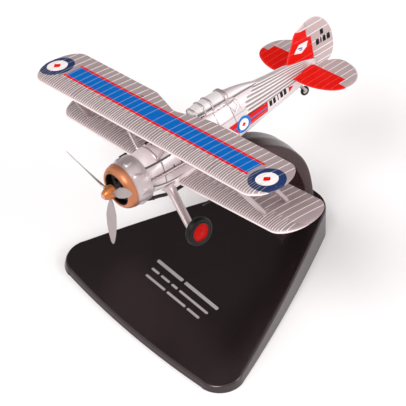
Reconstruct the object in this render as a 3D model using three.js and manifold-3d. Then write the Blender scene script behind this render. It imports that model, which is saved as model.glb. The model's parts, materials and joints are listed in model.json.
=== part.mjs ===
// Biplane scale model (1:72), banked on a display stand, built as an assembly of named pieces.
// Units are millimetres, +Z up, +X the way the aircraft points, +Y to its port side.
// Stand pieces use stand coordinates: x = 0 at the middle of the front edge, z = 0 underneath.
// Aircraft pieces use aircraft coordinates: the spinner tip is the origin and the thrust line
// is the X axis, so every part lies at negative x.
import * as THREE from 'three';
import { mergeVertices } from 'three/addons/utils/BufferGeometryUtils.js';
import Module from 'manifold-3d';

const wasm = await Module();
wasm.setup();

// ---------------------------------------------------------------- driving dimensions
const ORIGIN_X = 50;            // puts the model's origin near the middle of the stand

// stand
const STAND_LENGTH = 98.8;      // middle of the front edge to the rear edge
const STAND_HALF_FRONT = 52.7;  // half width at the front corners
const STAND_HALF_REAR = 10.1;
const STAND_BOW_FRONT = 3.9;    // outward bow of the front edge
const STAND_BOW_SIDE = 1.9;     // outward bow of each side
const STAND_RADIUS_FRONT = 10.3; // corner radii in plan
const STAND_RADIUS_REAR = 11.5;
const STAND_HEIGHT_FRONT = 2.4;
const STAND_HEIGHT_REAR = 15.0;
const STAND_EDGE = 1.0;         // radius of the rounded top edge
const STAND_DRAFT = 0.4;        // how far the side walls lean in
const STAND_WALL = 2.0;
const CAVITY_FRONT = -16;       // front end of the hollow underside
const ARM_SCREWS = { front: -76.5, rear: -85.5 };   // x of each screw
const ARM_HALF = 6.0;           // half width of the arm's curved strap

// aircraft pose on the stand
const BANK = 13.2, NOSE_DOWN = 1.3, YAW = -1.1;     // degrees
const NOSE = [10.9, 0, 81.6];                       // spinner tip, in stand coordinates

// peg between arm and aircraft, on the aircraft's centre line
const PEG_X = -50.0;
const PEG_LOW_Z = -16.6;        // bottom of its bore in the arm
const BELLY_Z = -8.95;

// wings: tip is the length of the rounded tip, dihedral is in degrees
const HALF_SPAN = 68.2;
const UPPER_WING = { leadingEdge: -20.1, chord: 22.7, z: 16.2, dihedral: 0, tip: 8.7 };
const LOWER_WING = { leadingEdge: -28.6, chord: 23.9, z: -7.4, dihedral: 2.0, tip: 8.4 };
const CUTOUT_DEPTH = 4.6;       // trailing edge cut-out of the upper wing

// struts; chord positions are fractions of the wing chord, front then rear
const STRUT_TOP_Y = 46.2, STRUT_LOW_Y = 52.1;
const STRUT_TOP_CHORD = [0.15, 0.59], STRUT_LOW_CHORD = [0.20, 0.64];
const CABANE_TOP_Y = 14.4;
const CABANE_TOP_CHORD = [0.17, 0.62];
const CABANE_LOW = [[-23.6, 5.9, 5.5], [-37.0, 5.7, 6.5]];   // port feet, front then rear

// fuselage
const FUSELAGE_FRONT = -17.2, FUSELAGE_REAR = -104.9;
const SEAM_TOP = 5.2;           // joint below the forward decking
const SEAM_LOW = -6.1;          // joint above the belly
const DECK_REAR = -42.4;
const BELLY_FRONT = -19.0, BELLY_REAR = -55.5;
const BELLY_GROW = 0.25;        // how far the belly stands proud of the fuselage
const BELLY_SCREWS = { front: -24.5, rear: -43.0 };
const TAIL_SLOT_Z = 2.8;        // plane of the tailplane
const GAP = 0.3;                // left between pieces that are cut by a neighbour

// undercarriage
const WHEEL = { x: -24.75, y: 20.6, z: -20.9, radius: 5.74 };
const legTop = (sign) => [-26.9, sign * 5.5, -7.6];
const legLow = (sign) => [-25.0, sign * 17.3, -21.4];

// guns
const GUN_Y = 7.95;
const GUN_TOE_IN = 0.35;        // how much nearer the centre line the rear end lies
const UNDERWING_GUN_Y = 25;

// engine and propeller
const COWL_RADIUS = 9.2, COWL_FRONT = -10.4, COWL_REAR = -16.5;
const CYLINDERS = 9;
const PROP_RADIUS = 22.3, PROP_ROOT_X = -3.6, PROP_TIP_X = -0.8;
const BLADE_ANGLES = [-90.6, 29.4, 149.4];

const SIDES = [['port', 1], ['starboard', -1]];     // name and sign of y
const rad = THREE.MathUtils.degToRad;

// ---------------------------------------------------------------- materials
const palette = {
  silver: { color: 0xb9b3b1, roughness: 0.42, metalness: 0.55 },
  silverLight: { color: 0xd3cecd, roughness: 0.38, metalness: 0.55 },
  copper: { color: 0xb87040, roughness: 0.35, metalness: 0.75 },
  black: { color: 0x141315, roughness: 0.4, metalness: 0.0 },
  standBlack: { color: 0x1b191b, roughness: 0.3, metalness: 0.0 },
  gunmetal: { color: 0x232022, roughness: 0.5, metalness: 0.5 },
  red: { color: 0xd8200f, roughness: 0.42, metalness: 0.0 },
  tyre: { color: 0x1d1c1b, roughness: 0.7, metalness: 0.0 },
  steel: { color: 0x9a9a9e, roughness: 0.3, metalness: 0.9 },
  glass: { color: 0xdfe3e6, roughness: 0.08, metalness: 0.0, transparent: true, opacity: 0.35 },
  exhaust: { color: 0x2b2320, roughness: 0.6, metalness: 0.4 },
  leather: { color: 0x4a3226, roughness: 0.7, metalness: 0.0 },
};

// ---------------------------------------------------------------- groups
function addGroup(parent, name) {
  const child = new THREE.Group();
  child.name = name;
  parent?.add(child);
  return child;
}

const group = addGroup(null, 'biplane_display_model');
group.position.x = ORIGIN_X;
const stand = addGroup(group, 'stand');
const aircraft = addGroup(group, 'aircraft');
aircraft.position.set(...NOSE);
aircraft.rotation.set(rad(BANK), rad(NOSE_DOWN), rad(YAW), 'ZYX');
aircraft.updateMatrix();
const airframe = addGroup(aircraft, 'airframe');

// ---------------------------------------------------------------- points and tables
const lerp = (a, b, t) => a + (b - a) * t;
const lerpPoint = (a, b, t) => a.map((value, k) => lerp(value, b[k], t));
const vector = (point) => new THREE.Vector3(...point);
const direction = (from, to) => vector(to).sub(vector(from)).normalize();

// the point at a distance from `from` towards `to`; a negative distance goes the other way
const towards = (from, to, distance) =>
  vector(from).addScaledVector(direction(from, to), distance).toArray();

// values at a key between rows [key, value, ...] whose keys all rise or all fall
function interpolate(rows, key) {
  const falling = rows[0][0] > rows[1][0];
  const next = rows.findIndex(([k], i) => i > 0 && (falling ? key >= k : key <= k));
  const from = rows[next - 1], to = rows[next];
  const t = (key - from[0]) / (to[0] - from[0]);
  return from.slice(1).map((value, k) => lerp(value, to[k + 1], t));
}

// ---------------------------------------------------------------- solids
// welds a geometry into a manifold solid, turned outside out if its faces point inwards
function toManifold(geometry) {
  const loose = geometry.index ? geometry.toNonIndexed() : geometry.clone();
  loose.deleteAttribute('normal');
  loose.deleteAttribute('uv');
  const welded = mergeVertices(loose, 1e-4);
  const index = welded.index.array;
  const triangles = [];
  for (let i = 0; i < index.length; i += 3) {
    const [a, b, c] = index.slice(i, i + 3);
    if (a !== b && b !== c && a !== c) triangles.push([a, b, c]);
  }
  const build = (faces) => new wasm.Manifold(new wasm.Mesh({
    numProp: 3,
    vertProperties: new Float32Array(welded.attributes.position.array),
    triVerts: new Uint32Array(faces.flat()),
  }));
  const solid = build(triangles);
  return solid.volume() < 0 ? build(triangles.map(([a, b, c]) => [a, c, b])) : solid;
}

function fromManifold(solid) {
  const { vertProperties, triVerts } = solid.getMesh();
  const geometry = new THREE.BufferGeometry();
  const positions = new Float32Array(vertProperties);
  geometry.setAttribute('position', new THREE.BufferAttribute(positions, 3));
  geometry.setIndex(Array.from(triVerts));
  return geometry;
}

function add(parent, name, solid, material) {
  const surface = new THREE.MeshStandardMaterial({
    ...palette[material], name: material, flatShading: true,
  });
  const mesh = new THREE.Mesh(fromManifold(solid), surface);
  mesh.name = name;
  parent.add(mesh);
}

const join = (...solids) => solids.reduce((a, b) => a.add(b));
const cut = (solid, ...tools) => tools.reduce((rest, tool) => rest.subtract(tool), solid);
const largestPart = (solid) => solid.decompose().sort((a, b) => b.volume() - a.volume())[0];

// closed solid skinned over equal-length loops, with a fan over each end
function loft(rings) {
  const n = rings[0].length;
  const positions = rings.flat(2);
  const index = [];
  for (let i = 0; i < rings.length - 1; i++) {
    for (let j = 0; j < n; j++) {
      const a = i * n + j, b = i * n + ((j + 1) % n);
      const c = a + n, d = b + n;
      index.push(a, b, d, a, d, c);
    }
  }
  const centre = (ring) => [0, 1, 2].map((k) => ring.reduce((s, p) => s + p[k], 0) / n);
  const firstCentre = rings.length * n, lastCentre = firstCentre + 1;
  positions.push(...centre(rings[0]), ...centre(rings.at(-1)));
  const last = (rings.length - 1) * n;
  for (let j = 0; j < n; j++) {
    const k = (j + 1) % n;
    index.push(firstCentre, k, j);
    index.push(lastCentre, last + j, last + k);
  }
  const geometry = new THREE.BufferGeometry();
  geometry.setAttribute('position', new THREE.Float32BufferAttribute(positions, 3));
  geometry.setIndex(index);
  return toManifold(geometry);
}

// revolves [height, radius] rows about Y; a profile that starts off the axis is closed up
function latheGeometry(profile, segments) {
  const points = profile.map(([height, radius]) => new THREE.Vector2(radius, height));
  if (profile[0][1] !== 0) points.push(points[0].clone());
  return new THREE.LatheGeometry(points, segments);
}
const latheX = (profile, segments) =>
  toManifold(latheGeometry(profile, segments).rotateZ(-Math.PI / 2));
const latheY = (profile, segments) => toManifold(latheGeometry(profile, segments));

function rod(from, to, radius, segments = 12, endRadius = radius) {
  const length = vector(from).distanceTo(vector(to));
  const geometry = new THREE.CylinderGeometry(endRadius, radius, length, segments);
  const up = new THREE.Vector3(0, 1, 0);
  geometry.applyQuaternion(
    new THREE.Quaternion().setFromUnitVectors(up, direction(from, to)));
  const centre = vector(from).add(vector(to)).multiplyScalar(0.5);
  return toManifold(geometry.translate(...centre.toArray()));
}
// rods on the centre line y = 0
const rodZ = (x, z0, z1, radius, segments) => rod([x, 0, z0], [x, 0, z1], radius, segments);
const rodX = (x0, x1, z, radius, segments) => rod([x0, 0, z], [x1, 0, z], radius, segments);

function box(x0, x1, y0, y1, z0, z1) {
  const geometry = new THREE.BoxGeometry(x1 - x0, y1 - y0, z1 - z0);
  return toManifold(geometry.translate((x0 + x1) / 2, (y0 + y1) / 2, (z0 + z1) / 2));
}
const centredBox = (x0, x1, halfWidth, z0, z1) => box(x0, x1, -halfWidth, halfWidth, z0, z1);

// round bar along a curved path
function pipe(path, radius, segments, steps) {
  const circle = new THREE.Shape(Array.from({ length: segments }, (_, i) => {
    const angle = (i / segments) * Math.PI * 2;
    return new THREE.Vector2(radius * Math.cos(angle), radius * Math.sin(angle));
  }));
  circle.closePath();
  const extrudePath = new THREE.CatmullRomCurve3(path.map(vector));
  const options = { extrudePath, steps, bevelEnabled: false };
  return toManifold(new THREE.ExtrudeGeometry(circle, options));
}

// flat plate with bevelled edges, its core `depth` thick and centred on z = 0
function bevelledPlate(outline, depth, bevelThickness, bevelSize) {
  const shape = new THREE.Shape(outline.map((point) => new THREE.Vector2(...point)));
  const geometry = new THREE.ExtrudeGeometry(shape, {
    depth, bevelEnabled: true, bevelThickness, bevelSize, bevelOffset: -bevelSize,
    bevelSegments: 2, curveSegments: 2,
  });
  return geometry.translate(0, 0, -depth / 2);
}

// ---------------------------------------------------------------- streamlined bars
// unit section [along the chord, across it], nose first; the chord lies along X
const streamlineSection = (widestAt, aftAt) => [
  [0.5, 0], [0.36, 0.38], [widestAt, 0.5], [aftAt, 0.32],
  [-0.5, 0], [aftAt, -0.32], [widestAt, -0.5], [0.36, -0.38],
];
const STRUT_SECTION = streamlineSection(0.05, -0.3);
const LEG_SECTION = streamlineSection(0, -0.34);

// stations are [fraction of the way from `from` to `to`, chord, thickness]
function streamlinedBar(from, to, section, stations) {
  const across = new THREE.Vector3(1, 0, 0).cross(direction(from, to)).normalize();
  return loft(stations.map(([t, chord, thickness]) => {
    const [x, y, z] = lerpPoint(from, to, t);
    return section.map(([u, v]) => [
      x + u * chord, y + across.y * v * thickness, z + across.z * v * thickness,
    ]);
  }));
}

// strut between two wing or fuselage points, stopping short of each, with a round peg at
// both ends
function strut({ low, high }, { chord, thickness, gaps, pegs, pegRadius }) {
  const from = towards(low, high, gaps[0]), to = towards(high, low, gaps[1]);
  const stations = [[0, 0.92], [0.06, 1], [0.94, 1], [1, 0.92]];
  const pegOverlap = 0.6;
  return join(
    streamlinedBar(from, to, STRUT_SECTION,
      stations.map(([t, scale]) => [t, chord * scale, thickness * scale])),
    rod(towards(from, to, pegOverlap), towards(from, to, -pegs[0]), pegRadius, 8),
    rod(towards(to, from, pegOverlap), towards(to, from, -pegs[1]), pegRadius, 8),
  );
}

// tool for the hole a strut peg enters at `at`, the strut running on to `other`
const socket = (at, other, depth, radius = 0.62) =>
  rod(towards(at, other, 1.6), towards(at, other, -depth), radius, 10);

// ================================================================ stand
const standTop = (x) =>
  STAND_HEIGHT_FRONT + (STAND_HEIGHT_REAR - STAND_HEIGHT_FRONT) * (-x / STAND_LENGTH);
const point2 = (x, y) => new THREE.Vector2(x, y);

// rounds the corner where edge `before` ends and edge `after` starts;
// gives both edges cut back, with the arc between them
function roundCorner(before, after, radius) {
  const steps = 6;
  const corner = before.at(-1);
  const back = before.at(-2).clone().sub(corner).normalize();
  const ahead = after[1].clone().sub(after[0]).normalize();
  const halfAngle = Math.acos(back.dot(ahead)) / 2;
  const reach = radius / Math.tan(halfAngle);
  const bisector = back.clone().add(ahead).normalize();
  const centre = corner.clone().addScaledVector(bisector, radius / Math.sin(halfAngle));
  const angleOf = (along) => corner.clone().addScaledVector(along, reach).sub(centre).angle();
  const start = angleOf(back);
  const turn = angleOf(ahead) - start;
  const sweep = Math.atan2(Math.sin(turn), Math.cos(turn));   // the short way round
  const arc = [];
  for (let k = 0; k <= steps; k++) {
    const angle = start + (sweep * k) / steps;
    arc.push(point2(centre.x + radius * Math.cos(angle), centre.y + radius * Math.sin(angle)));
  }
  const clear = (point) => point.distanceTo(corner) > reach + 0.5;
  return [before.filter(clear), arc, after.filter(clear)];
}

// plan outline, counter-clockwise from above; the port half is drawn and mirrored
function planOutline() {
  const front = [], side = [], rear = [];
  const frontCorner = point2(-STAND_BOW_FRONT, STAND_HALF_FRONT);
  const rearCorner = point2(-STAND_LENGTH, STAND_HALF_REAR);
  const along = rearCorner.clone().sub(frontCorner).normalize();
  const outward = point2(along.y, -along.x);
  for (let k = 0; k <= 24; k++) {
    const t = k / 24;
    front.push(point2(-STAND_BOW_FRONT * t ** 2, STAND_HALF_FRONT * t));
    side.push(frontCorner.clone().lerp(rearCorner, t)
      .addScaledVector(outward, 4 * STAND_BOW_SIDE * t * (1 - t)));
  }
  for (let k = 0; k <= 12; k++) rear.push(point2(-STAND_LENGTH, STAND_HALF_REAR * (1 - k / 12)));
  const [frontEdge, frontArc, sideRest] = roundCorner(front, side, STAND_RADIUS_FRONT);
  const [sideEdge, rearArc, rearEdge] = roundCorner(sideRest, rear, STAND_RADIUS_REAR);
  const every = (points, step) => points.filter((_, k) => k % step === 0);
  const port = [
    ...every(frontEdge, 5), ...frontArc, ...every(sideEdge, 4), ...rearArc, rearEdge.at(-1),
  ];
  const starboard = port.slice(1, -1).reverse().map(({ x, y }) => point2(x, -y));
  return [...port, ...starboard];
}
const STAND_OUTLINE = planOutline();

// the outline moved inwards, each point at the height heightAt(x)
function standRing(inset, heightAt) {
  const n = STAND_OUTLINE.length;
  return STAND_OUTLINE.map((point, i) => {
    const before = STAND_OUTLINE[(i + n - 1) % n], after = STAND_OUTLINE[(i + 1) % n];
    const edgeIn = point.clone().sub(before).normalize();
    const edgeOut = after.clone().sub(point).normalize();
    const inward = point2(-(edgeIn.y + edgeOut.y), edgeIn.x + edgeOut.x).normalize();
    const mitre = inset / Math.max(0.5, Math.sqrt((1 + edgeIn.dot(edgeOut)) / 2));
    const x = point.x + inward.x * mitre, y = point.y + inward.y * mitre;
    return [x, y, heightAt(x)];
  });
}

function standBase() {
  const rings = [standRing(0, () => 0)];
  for (const angle of [0, 30, 60, 90]) {    // around the rounded top edge
    const inset = STAND_EDGE * (1 - Math.cos(rad(angle)));
    const rise = STAND_EDGE * Math.sin(rad(angle));
    rings.push(standRing(STAND_DRAFT + inset, (x) => standTop(x) - STAND_EDGE + rise));
  }
  // hollow underside, its roof parallel to the top face
  const cavityInset = STAND_WALL + STAND_DRAFT;
  const cavity = loft([
    standRing(cavityInset, () => -1),
    standRing(cavityInset, (x) => standTop(x) - STAND_WALL),
  ]);
  let base = cut(loft(rings),
    cavity.intersect(centredBox(-STAND_LENGTH, CAVITY_FRONT, 60, -2, 20)));
  // screw bosses under the foot of the arm
  for (const x of Object.values(ARM_SCREWS)) {
    base = join(base, rodZ(x, 4.2, standTop(x) - 1.2, 3.4, 16));
    base = cut(base, rodZ(x, 0, 20, 1.3, 16));
  }
  return base;
}

// plate that closes the hollow underside
function standPlate() {
  const inset = STAND_WALL + STAND_DRAFT + 0.25;
  const thickness = 1.4;
  return loft([standRing(inset, () => 0), standRing(inset, () => thickness)])
    .intersect(centredBox(-STAND_LENGTH, CAVITY_FRONT - GAP, 60, -2, 20));
}

// [outer x, outer z, inner x, inner z, half width]; outer is the back and top of the strap
const ARM_STATIONS = [
  [-70.9, standTop(-70.9), -71.2, standTop(-70.9) + 3.4, 11.3],
  [-79.0, standTop(-79.0), -78.4, 15.9, 9.6],
  [-86.0, standTop(-86.0), -82.9, 17.6, 8.1],
  [-91.4, standTop(-91.4), -85.6, 19.8, 6.9],
  [-93.3, standTop(-93.3) + 1.6, -86.9, 22.4, 6.25],
  [-92.9, 20.8, -87.3, 24.6, ARM_HALF], [-92.3, 25.0, -87.0, 27.3, ARM_HALF],
  [-91.5, 29.2, -86.1, 30.3, ARM_HALF], [-90.5, 33.3, -84.9, 33.5, ARM_HALF],
  [-89.1, 37.6, -83.4, 37.0, ARM_HALF], [-87.0, 42.2, -81.8, 40.6, ARM_HALF],
  [-84.1, 46.8, -79.5, 44.6, ARM_HALF], [-80.7, 51.1, -76.7, 48.3, ARM_HALF],
  [-76.9, 54.9, -73.6, 51.6, ARM_HALF], [-73.0, 58.1, -70.2, 54.5, ARM_HALF],
  [-68.5, 61.2, -66.2, 57.3, ARM_HALF], [-63.4, 64.0, -61.6, 60.0, ARM_HALF],
  [-58.0, 66.3, -56.7, 62.2, ARM_HALF], [-52.0, 68.0, -51.3, 63.9, ARM_HALF],
  [-46.0, 68.9, -45.8, 64.8, ARM_HALF], [-41.0, 69.1, -41.0, 65.1, 5.9],
  [-36.5, 68.9, -36.7, 65.0, 5.0], [-33.9, 68.1, -34.1, 65.7, 3.2],
];
const ARM_FOOT_STATIONS = 4;    // the first stations sit flat on the stand

// a point on the peg's axis, from its aircraft z to stand coordinates
const pegPoint = (z) => vector([PEG_X, 0, z]).applyMatrix4(aircraft.matrix).toArray();

function supportArm() {
  const bevel = 0.55;
  const rings = ARM_STATIONS.map(([outerX, outerZ, innerX, innerZ, half], i) => {
    const foot = i < ARM_FOOT_STATIONS;
    const crown = foot ? 0 : 0.35;
    const outerBevel = foot ? 0 : bevel;
    const dx = innerX - outerX, dz = innerZ - outerZ;
    const depth = Math.hypot(dx, dz);
    const at = (d, y) => [outerX + (dx / depth) * d, y, outerZ + (dz / depth) * d];
    return [
      at(-crown, 0), at(0, -half + bevel), at(outerBevel, -half),
      at(depth - bevel, -half), at(depth, -half + bevel),
      at(depth, half - bevel), at(depth - bevel, half),
      at(outerBevel, half), at(0, half - bevel),
    ];
  });
  let arm = loft(rings);
  for (const x of Object.values(ARM_SCREWS)) {
    arm = cut(arm, rodZ(x, 0, standTop(x) + 2.4, 1.15, 16));
  }
  // tapered pad under the belly, bored for the peg
  arm = join(arm, rod(pegPoint(-14.6), pegPoint(BELLY_Z - 0.35), 4.3, 18, 3.3));
  return cut(arm, rod(pegPoint(PEG_LOW_Z), pegPoint(-5), 1.5));
}

// the peg runs square to the aircraft's belly, its lower half held in the tip of the arm
const mountingPeg = () => rod(pegPoint(PEG_LOW_Z + 0.1), pegPoint(BELLY_Z + 4.2), 1.38);

// head down, with a cross slot
function armScrew(x) {
  const screw = join(rodZ(x, 2.3, 4.0, 2.2, 16), rodZ(x, 3.6, standTop(x) + 2.0, 0.95, 12));
  return cut(screw,
    centredBox(x - 1.5, x + 1.5, 0.22, 1.9, 2.8), centredBox(x - 0.22, x + 0.22, 1.5, 1.9, 2.8));
}

// ================================================================ wings
// unit chord sections: [fraction of chord, height]
const AIRFOIL_TOP = [
  [0, 0], [0.02, 0.030], [0.09, 0.057], [0.28, 0.073], [0.52, 0.061], [0.78, 0.033], [1, 0.006],
];
const AIRFOIL_LOW = [[0, 0], [0.03, -0.018], [0.35, -0.023], [1, -0.006]];
const wingZ = (wing, y) => wing.z + Math.abs(y) * Math.tan(rad(wing.dihedral));

// wing section at span station y; cutout is the depth taken off the trailing edge
function wingRing(wing, y, cutout = 0) {
  const intoTip = Math.max(0, Math.abs(y) - (HALF_SPAN - wing.tip)) / wing.tip;
  const scale = Math.sqrt(1 - intoTip ** 2);
  const chord = wing.chord * scale;
  const leadingEdge = wing.leadingEdge - (wing.chord - chord) * 0.5;
  const thickness = wing.chord * scale ** 0.75;
  const trail = 1 - cutout / wing.chord;
  const point = (surface) => ([fraction]) => {
    // only the rear half of the chord is squeezed by the cut-out
    const f = fraction < 0.5 ? fraction : 0.5 + ((fraction - 0.5) * (trail - 0.5)) / 0.5;
    const [height] = interpolate(surface, f);
    return [leadingEdge - chord * f, y, wingZ(wing, y) + thickness * height];
  };
  return [
    ...AIRFOIL_TOP.map(point(AIRFOIL_TOP)),
    ...AIRFOIL_LOW.slice(1).reverse().map(point(AIRFOIL_LOW)),
  ];
}
const tipStations = (wing) => [0, 24, 44, 60, 74, 84]
  .map((angle) => HALF_SPAN - wing.tip + wing.tip * Math.sin(rad(angle)));

const INTERPLANE = [], CABANE = [];
// a point on a wing's surface, away from the tip
const wingPoint = (wing, y, fraction, surface) => [
  wing.leadingEdge - wing.chord * fraction, y,
  wingZ(wing, y) + wing.chord * interpolate(surface, fraction)[0],
];
for (const [side, sign] of SIDES) {
  for (const [k, row] of ['front', 'rear'].entries()) {
    INTERPLANE.push({
      name: `${side}_${row}_interplane_strut`,
      low: wingPoint(LOWER_WING, sign * STRUT_LOW_Y, STRUT_LOW_CHORD[k], AIRFOIL_TOP),
      high: wingPoint(UPPER_WING, sign * STRUT_TOP_Y, STRUT_TOP_CHORD[k], AIRFOIL_LOW),
    });
    const [x, y, z] = CABANE_LOW[k];
    CABANE.push({
      name: `${side}_${row}_cabane_strut`,
      low: [x, sign * y, z],
      high: wingPoint(UPPER_WING, sign * CABANE_TOP_Y, CABANE_TOP_CHORD[k], AIRFOIL_LOW),
    });
  }
}
// gaps and pegs are [low end, high end]
const INTERPLANE_SIZE = {
  chord: 2.2, thickness: 1.15, gaps: [0.16, 0.2], pegs: [0.7, 0.5], pegRadius: 0.42,
};
const CABANE_SIZE = {
  chord: 1.5, thickness: 0.85, gaps: [0.75, 0.25], pegs: [1.6, 0.45], pegRadius: 0.4,
};

function upperWing() {
  // [span station, depth of the trailing edge cut-out]
  const half = [
    [0.8, CUTOUT_DEPTH], [14.6, CUTOUT_DEPTH / 16], [16.0, 0], [STRUT_TOP_Y, 0],
    ...tipStations(UPPER_WING).map((y) => [y, 0]),
  ];
  const stations = [...half.map(([y, depth]) => [-y, depth]).reverse(), ...half];
  const wing = loft(stations.map(([y, depth]) => wingRing(UPPER_WING, y, depth)));
  return cut(wing,
    ...INTERPLANE.map(({ low, high }) => socket(high, low, 0.75)),
    ...CABANE.map(({ low, high }) => socket(high, low, 0.75, 0.6)));
}

function lowerWingPanel(sign) {
  const stations = [5.0, 25.0, ...tipStations(LOWER_WING)].map((y) => sign * y);
  return loft(stations.sort((a, b) => a - b).map((y) => wingRing(LOWER_WING, y)));
}

// ================================================================ fuselage
// [x, half width, z of widest point, z top, z bottom, upper exponent, lower exponent]
const FUSELAGE = [
  [FUSELAGE_FRONT, 7.45, 0.0, 7.5, -7.5, 2.0, 2.0],
  [-19.0, 7.6, 0.0, 8.0, -7.9, 2.0, 2.2],
  [-23.0, 7.65, 0.0, 8.7, -8.3, 2.0, 2.6],
  [-30.0, 7.5, 0.1, 9.2, -8.6, 2.0, 2.9],
  [-38.0, 7.15, 0.3, 9.9, -8.7, 2.05, 3.0],
  [-46.0, 6.75, 0.6, 10.6, -8.7, 2.15, 3.0],
  [-55.0, 6.25, 0.8, 11.2, -8.5, 2.2, 2.9],
  [-59.6, 5.95, 0.8, 11.6, -8.3, 2.2, 2.8],
  [-61.2, 5.85, 0.8, 12.9, -8.2, 1.75, 2.8],
  [-66.5, 5.4, 0.9, 11.9, -7.6, 1.75, 2.7],
  [-70.5, 5.1, 1.0, 10.7, -7.0, 1.8, 2.7],
  [-75.0, 4.75, 1.1, 9.5, -6.3, 1.9, 2.7],
  [-83.0, 4.1, 1.2, 8.6, -5.3, 2.0, 2.6],
  [-92.0, 3.2, 1.3, 7.7, -4.2, 2.0, 2.5],
  [-99.0, 2.35, 1.5, 6.3, -3.1, 2.0, 2.3],
  [FUSELAGE_REAR, 1.1, 1.7, 4.7, -1.7, 2.0, 2.1],
];

// superellipse section at x, grown outwards
function fuselageRing(x, grow) {
  const n = 18;
  const [half, middle, top, bottom, upper, lower] = interpolate(FUSELAGE, x);
  return Array.from({ length: n }, (_, i) => {
    const angle = (i / n) * Math.PI * 2 + Math.PI / n;
    const c = Math.cos(angle), s = Math.sin(angle);
    const exponent = 2 / (s > 0 ? upper : lower);
    const height = (s > 0 ? top - middle : middle - bottom) + grow;
    return [
      x,
      (half + grow) * Math.sign(c) * Math.abs(c) ** exponent,
      middle + height * Math.sign(s) * Math.abs(s) ** exponent,
    ];
  });
}
function fuselageLoft(grow = 0, front = FUSELAGE_FRONT, rear = FUSELAGE_REAR) {
  const between = FUSELAGE.map(([x]) => x).filter((x) => x < front - 0.01 && x > rear + 0.01);
  return loft([front, ...between, rear].map((x) => fuselageRing(x, grow)));
}

// rod along a gun's axis between two x positions
function gunRod(sign, front, rear, radius, segments) {
  const z = (x) => lerp(-0.2, -1.2, (-17.3 - x) / 17);
  const from = [front, sign * GUN_Y, z(front)];
  const to = [rear, sign * (GUN_Y - GUN_TOE_IN), z(rear)];
  return rod(from, to, radius, segments);
}

// tool for an undercarriage leg's socket, reaching past the leg's top by a share of its length
const legSocket = (sign, overshoot, radius) =>
  rod(lerpPoint(legTop(sign), legLow(sign), -overshoot), legLow(sign), radius, 14);

const cabaneFootSocket = ({ low, high }) => socket(low, high, 1.6, 0.7);

function fuselageCasting() {
  return cut(fuselageLoft(),
    centredBox(DECK_REAR - GAP, -16.0, 12, SEAM_TOP - GAP, 30),   // forward decking
    centredBox(BELLY_REAR, -16.5, 12, -20, SEAM_LOW),             // belly
    centredBox(-58.6, -45.2, 3.1, 4.4, 20),                       // cockpit
    ...SIDES.map(([, sign]) => gunRod(sign, -16.9, -34.6, 0.95, 14)),
    // slot for the tailplane, then the seat of the fin
    centredBox(-104.3, -91.2, 8, TAIL_SLOT_Z - 0.75, TAIL_SLOT_Z + 0.85),
    centredBox(-106, -91.4, 0.7, TAIL_SLOT_Z + 0.6, 12),
    rodZ(-97.2, -6, -1.3, 0.75, 12),                              // tail wheel socket
    rodX(-16, -21, 0, 2.3, 20),                                   // engine spigot
    ...CABANE.map(cabaneFootSocket),
    rodZ(PEG_X, -12, BELLY_Z + 4.9, 1.7, 12),
    ...Object.values(BELLY_SCREWS).map((x) => rodZ(x, -8, -2.6, 0.72, 12)),
    ...SIDES.map(([, sign]) => legSocket(sign, 0.13, 1.15)));
}

// top of the fuselage ahead of the cockpit, with a raised band near its front edge
function forwardDecking() {
  const decking = fuselageLoft().intersect(centredBox(DECK_REAR, -17.0, 12, SEAM_TOP, 30));
  const band = cut(fuselageLoft(0.35, -22.7, -23.4), fuselageLoft(-0.6, -22.0, -24.2))
    .intersect(centredBox(-24, -22, 12, SEAM_TOP + 0.05, 20));
  return cut(join(decking, band),
    centredBox(-42.5, -18.2, 4.2, 4, 6.6),                        // hollow underneath
    ...CABANE.map(cabaneFootSocket));
}

function lowerWingAndBelly() {
  const top = SEAM_LOW - GAP;
  const belly = fuselageLoft(BELLY_GROW, BELLY_FRONT, BELLY_REAR + GAP)
    .intersect(centredBox(BELLY_REAR + GAP, BELLY_FRONT, 12, -20, top));
  const core = fuselageLoft(-0.4, -30, -52).intersect(centredBox(-52, -30, 7, -8.2, top));
  // room for the fuselage above the seam, cleared from the panels and again from the whole
  const fuselageRoom =
    cut(fuselageLoft(GAP, FUSELAGE_FRONT, -70), centredBox(-80, -10, 12, -30, top));
  const panels = join(...SIDES.map(([, sign]) => lowerWingPanel(sign)), core);
  return cut(join(cut(panels, fuselageRoom), belly),
    fuselageRoom,
    ...INTERPLANE.map(({ low, high }) => socket(low, high, 0.95)),
    rodZ(PEG_X, -12, BELLY_Z + 4.5, 1.6, 12),
    // counterbore and clearance hole of each belly screw
    ...Object.values(BELLY_SCREWS).flatMap((x) => [
      rodZ(x, -12, -7.6, 1.45, 16), rodZ(x, -12, -5, 0.75, 12),
    ]),
    ...SIDES.map(([, sign]) => legSocket(sign, 0.12, 1.1)));
}

function bellyScrew(x) {
  const headTop = -7.75;
  return cut(
    join(rodZ(x, headTop - 0.75, headTop, 1.25, 12), rodZ(x, headTop - 0.3, -3.0, 0.6, 10)),
    centredBox(x - 0.9, x + 0.9, 0.14, headTop - 1.2, headTop - 0.4));
}

// ================================================================ undercarriage
// [fraction of the way down, chord, thickness]; the top flares out to meet the belly
const LEG_STATIONS = [
  [0.0, 9.4, 3.4], [0.05, 7.4, 2.9], [0.12, 5.4, 2.4], [0.22, 4.2, 2.0],
  [0.86, 3.4, 1.7], [0.97, 3.2, 1.7], [1.04, 2.0, 1.4],
];

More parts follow.
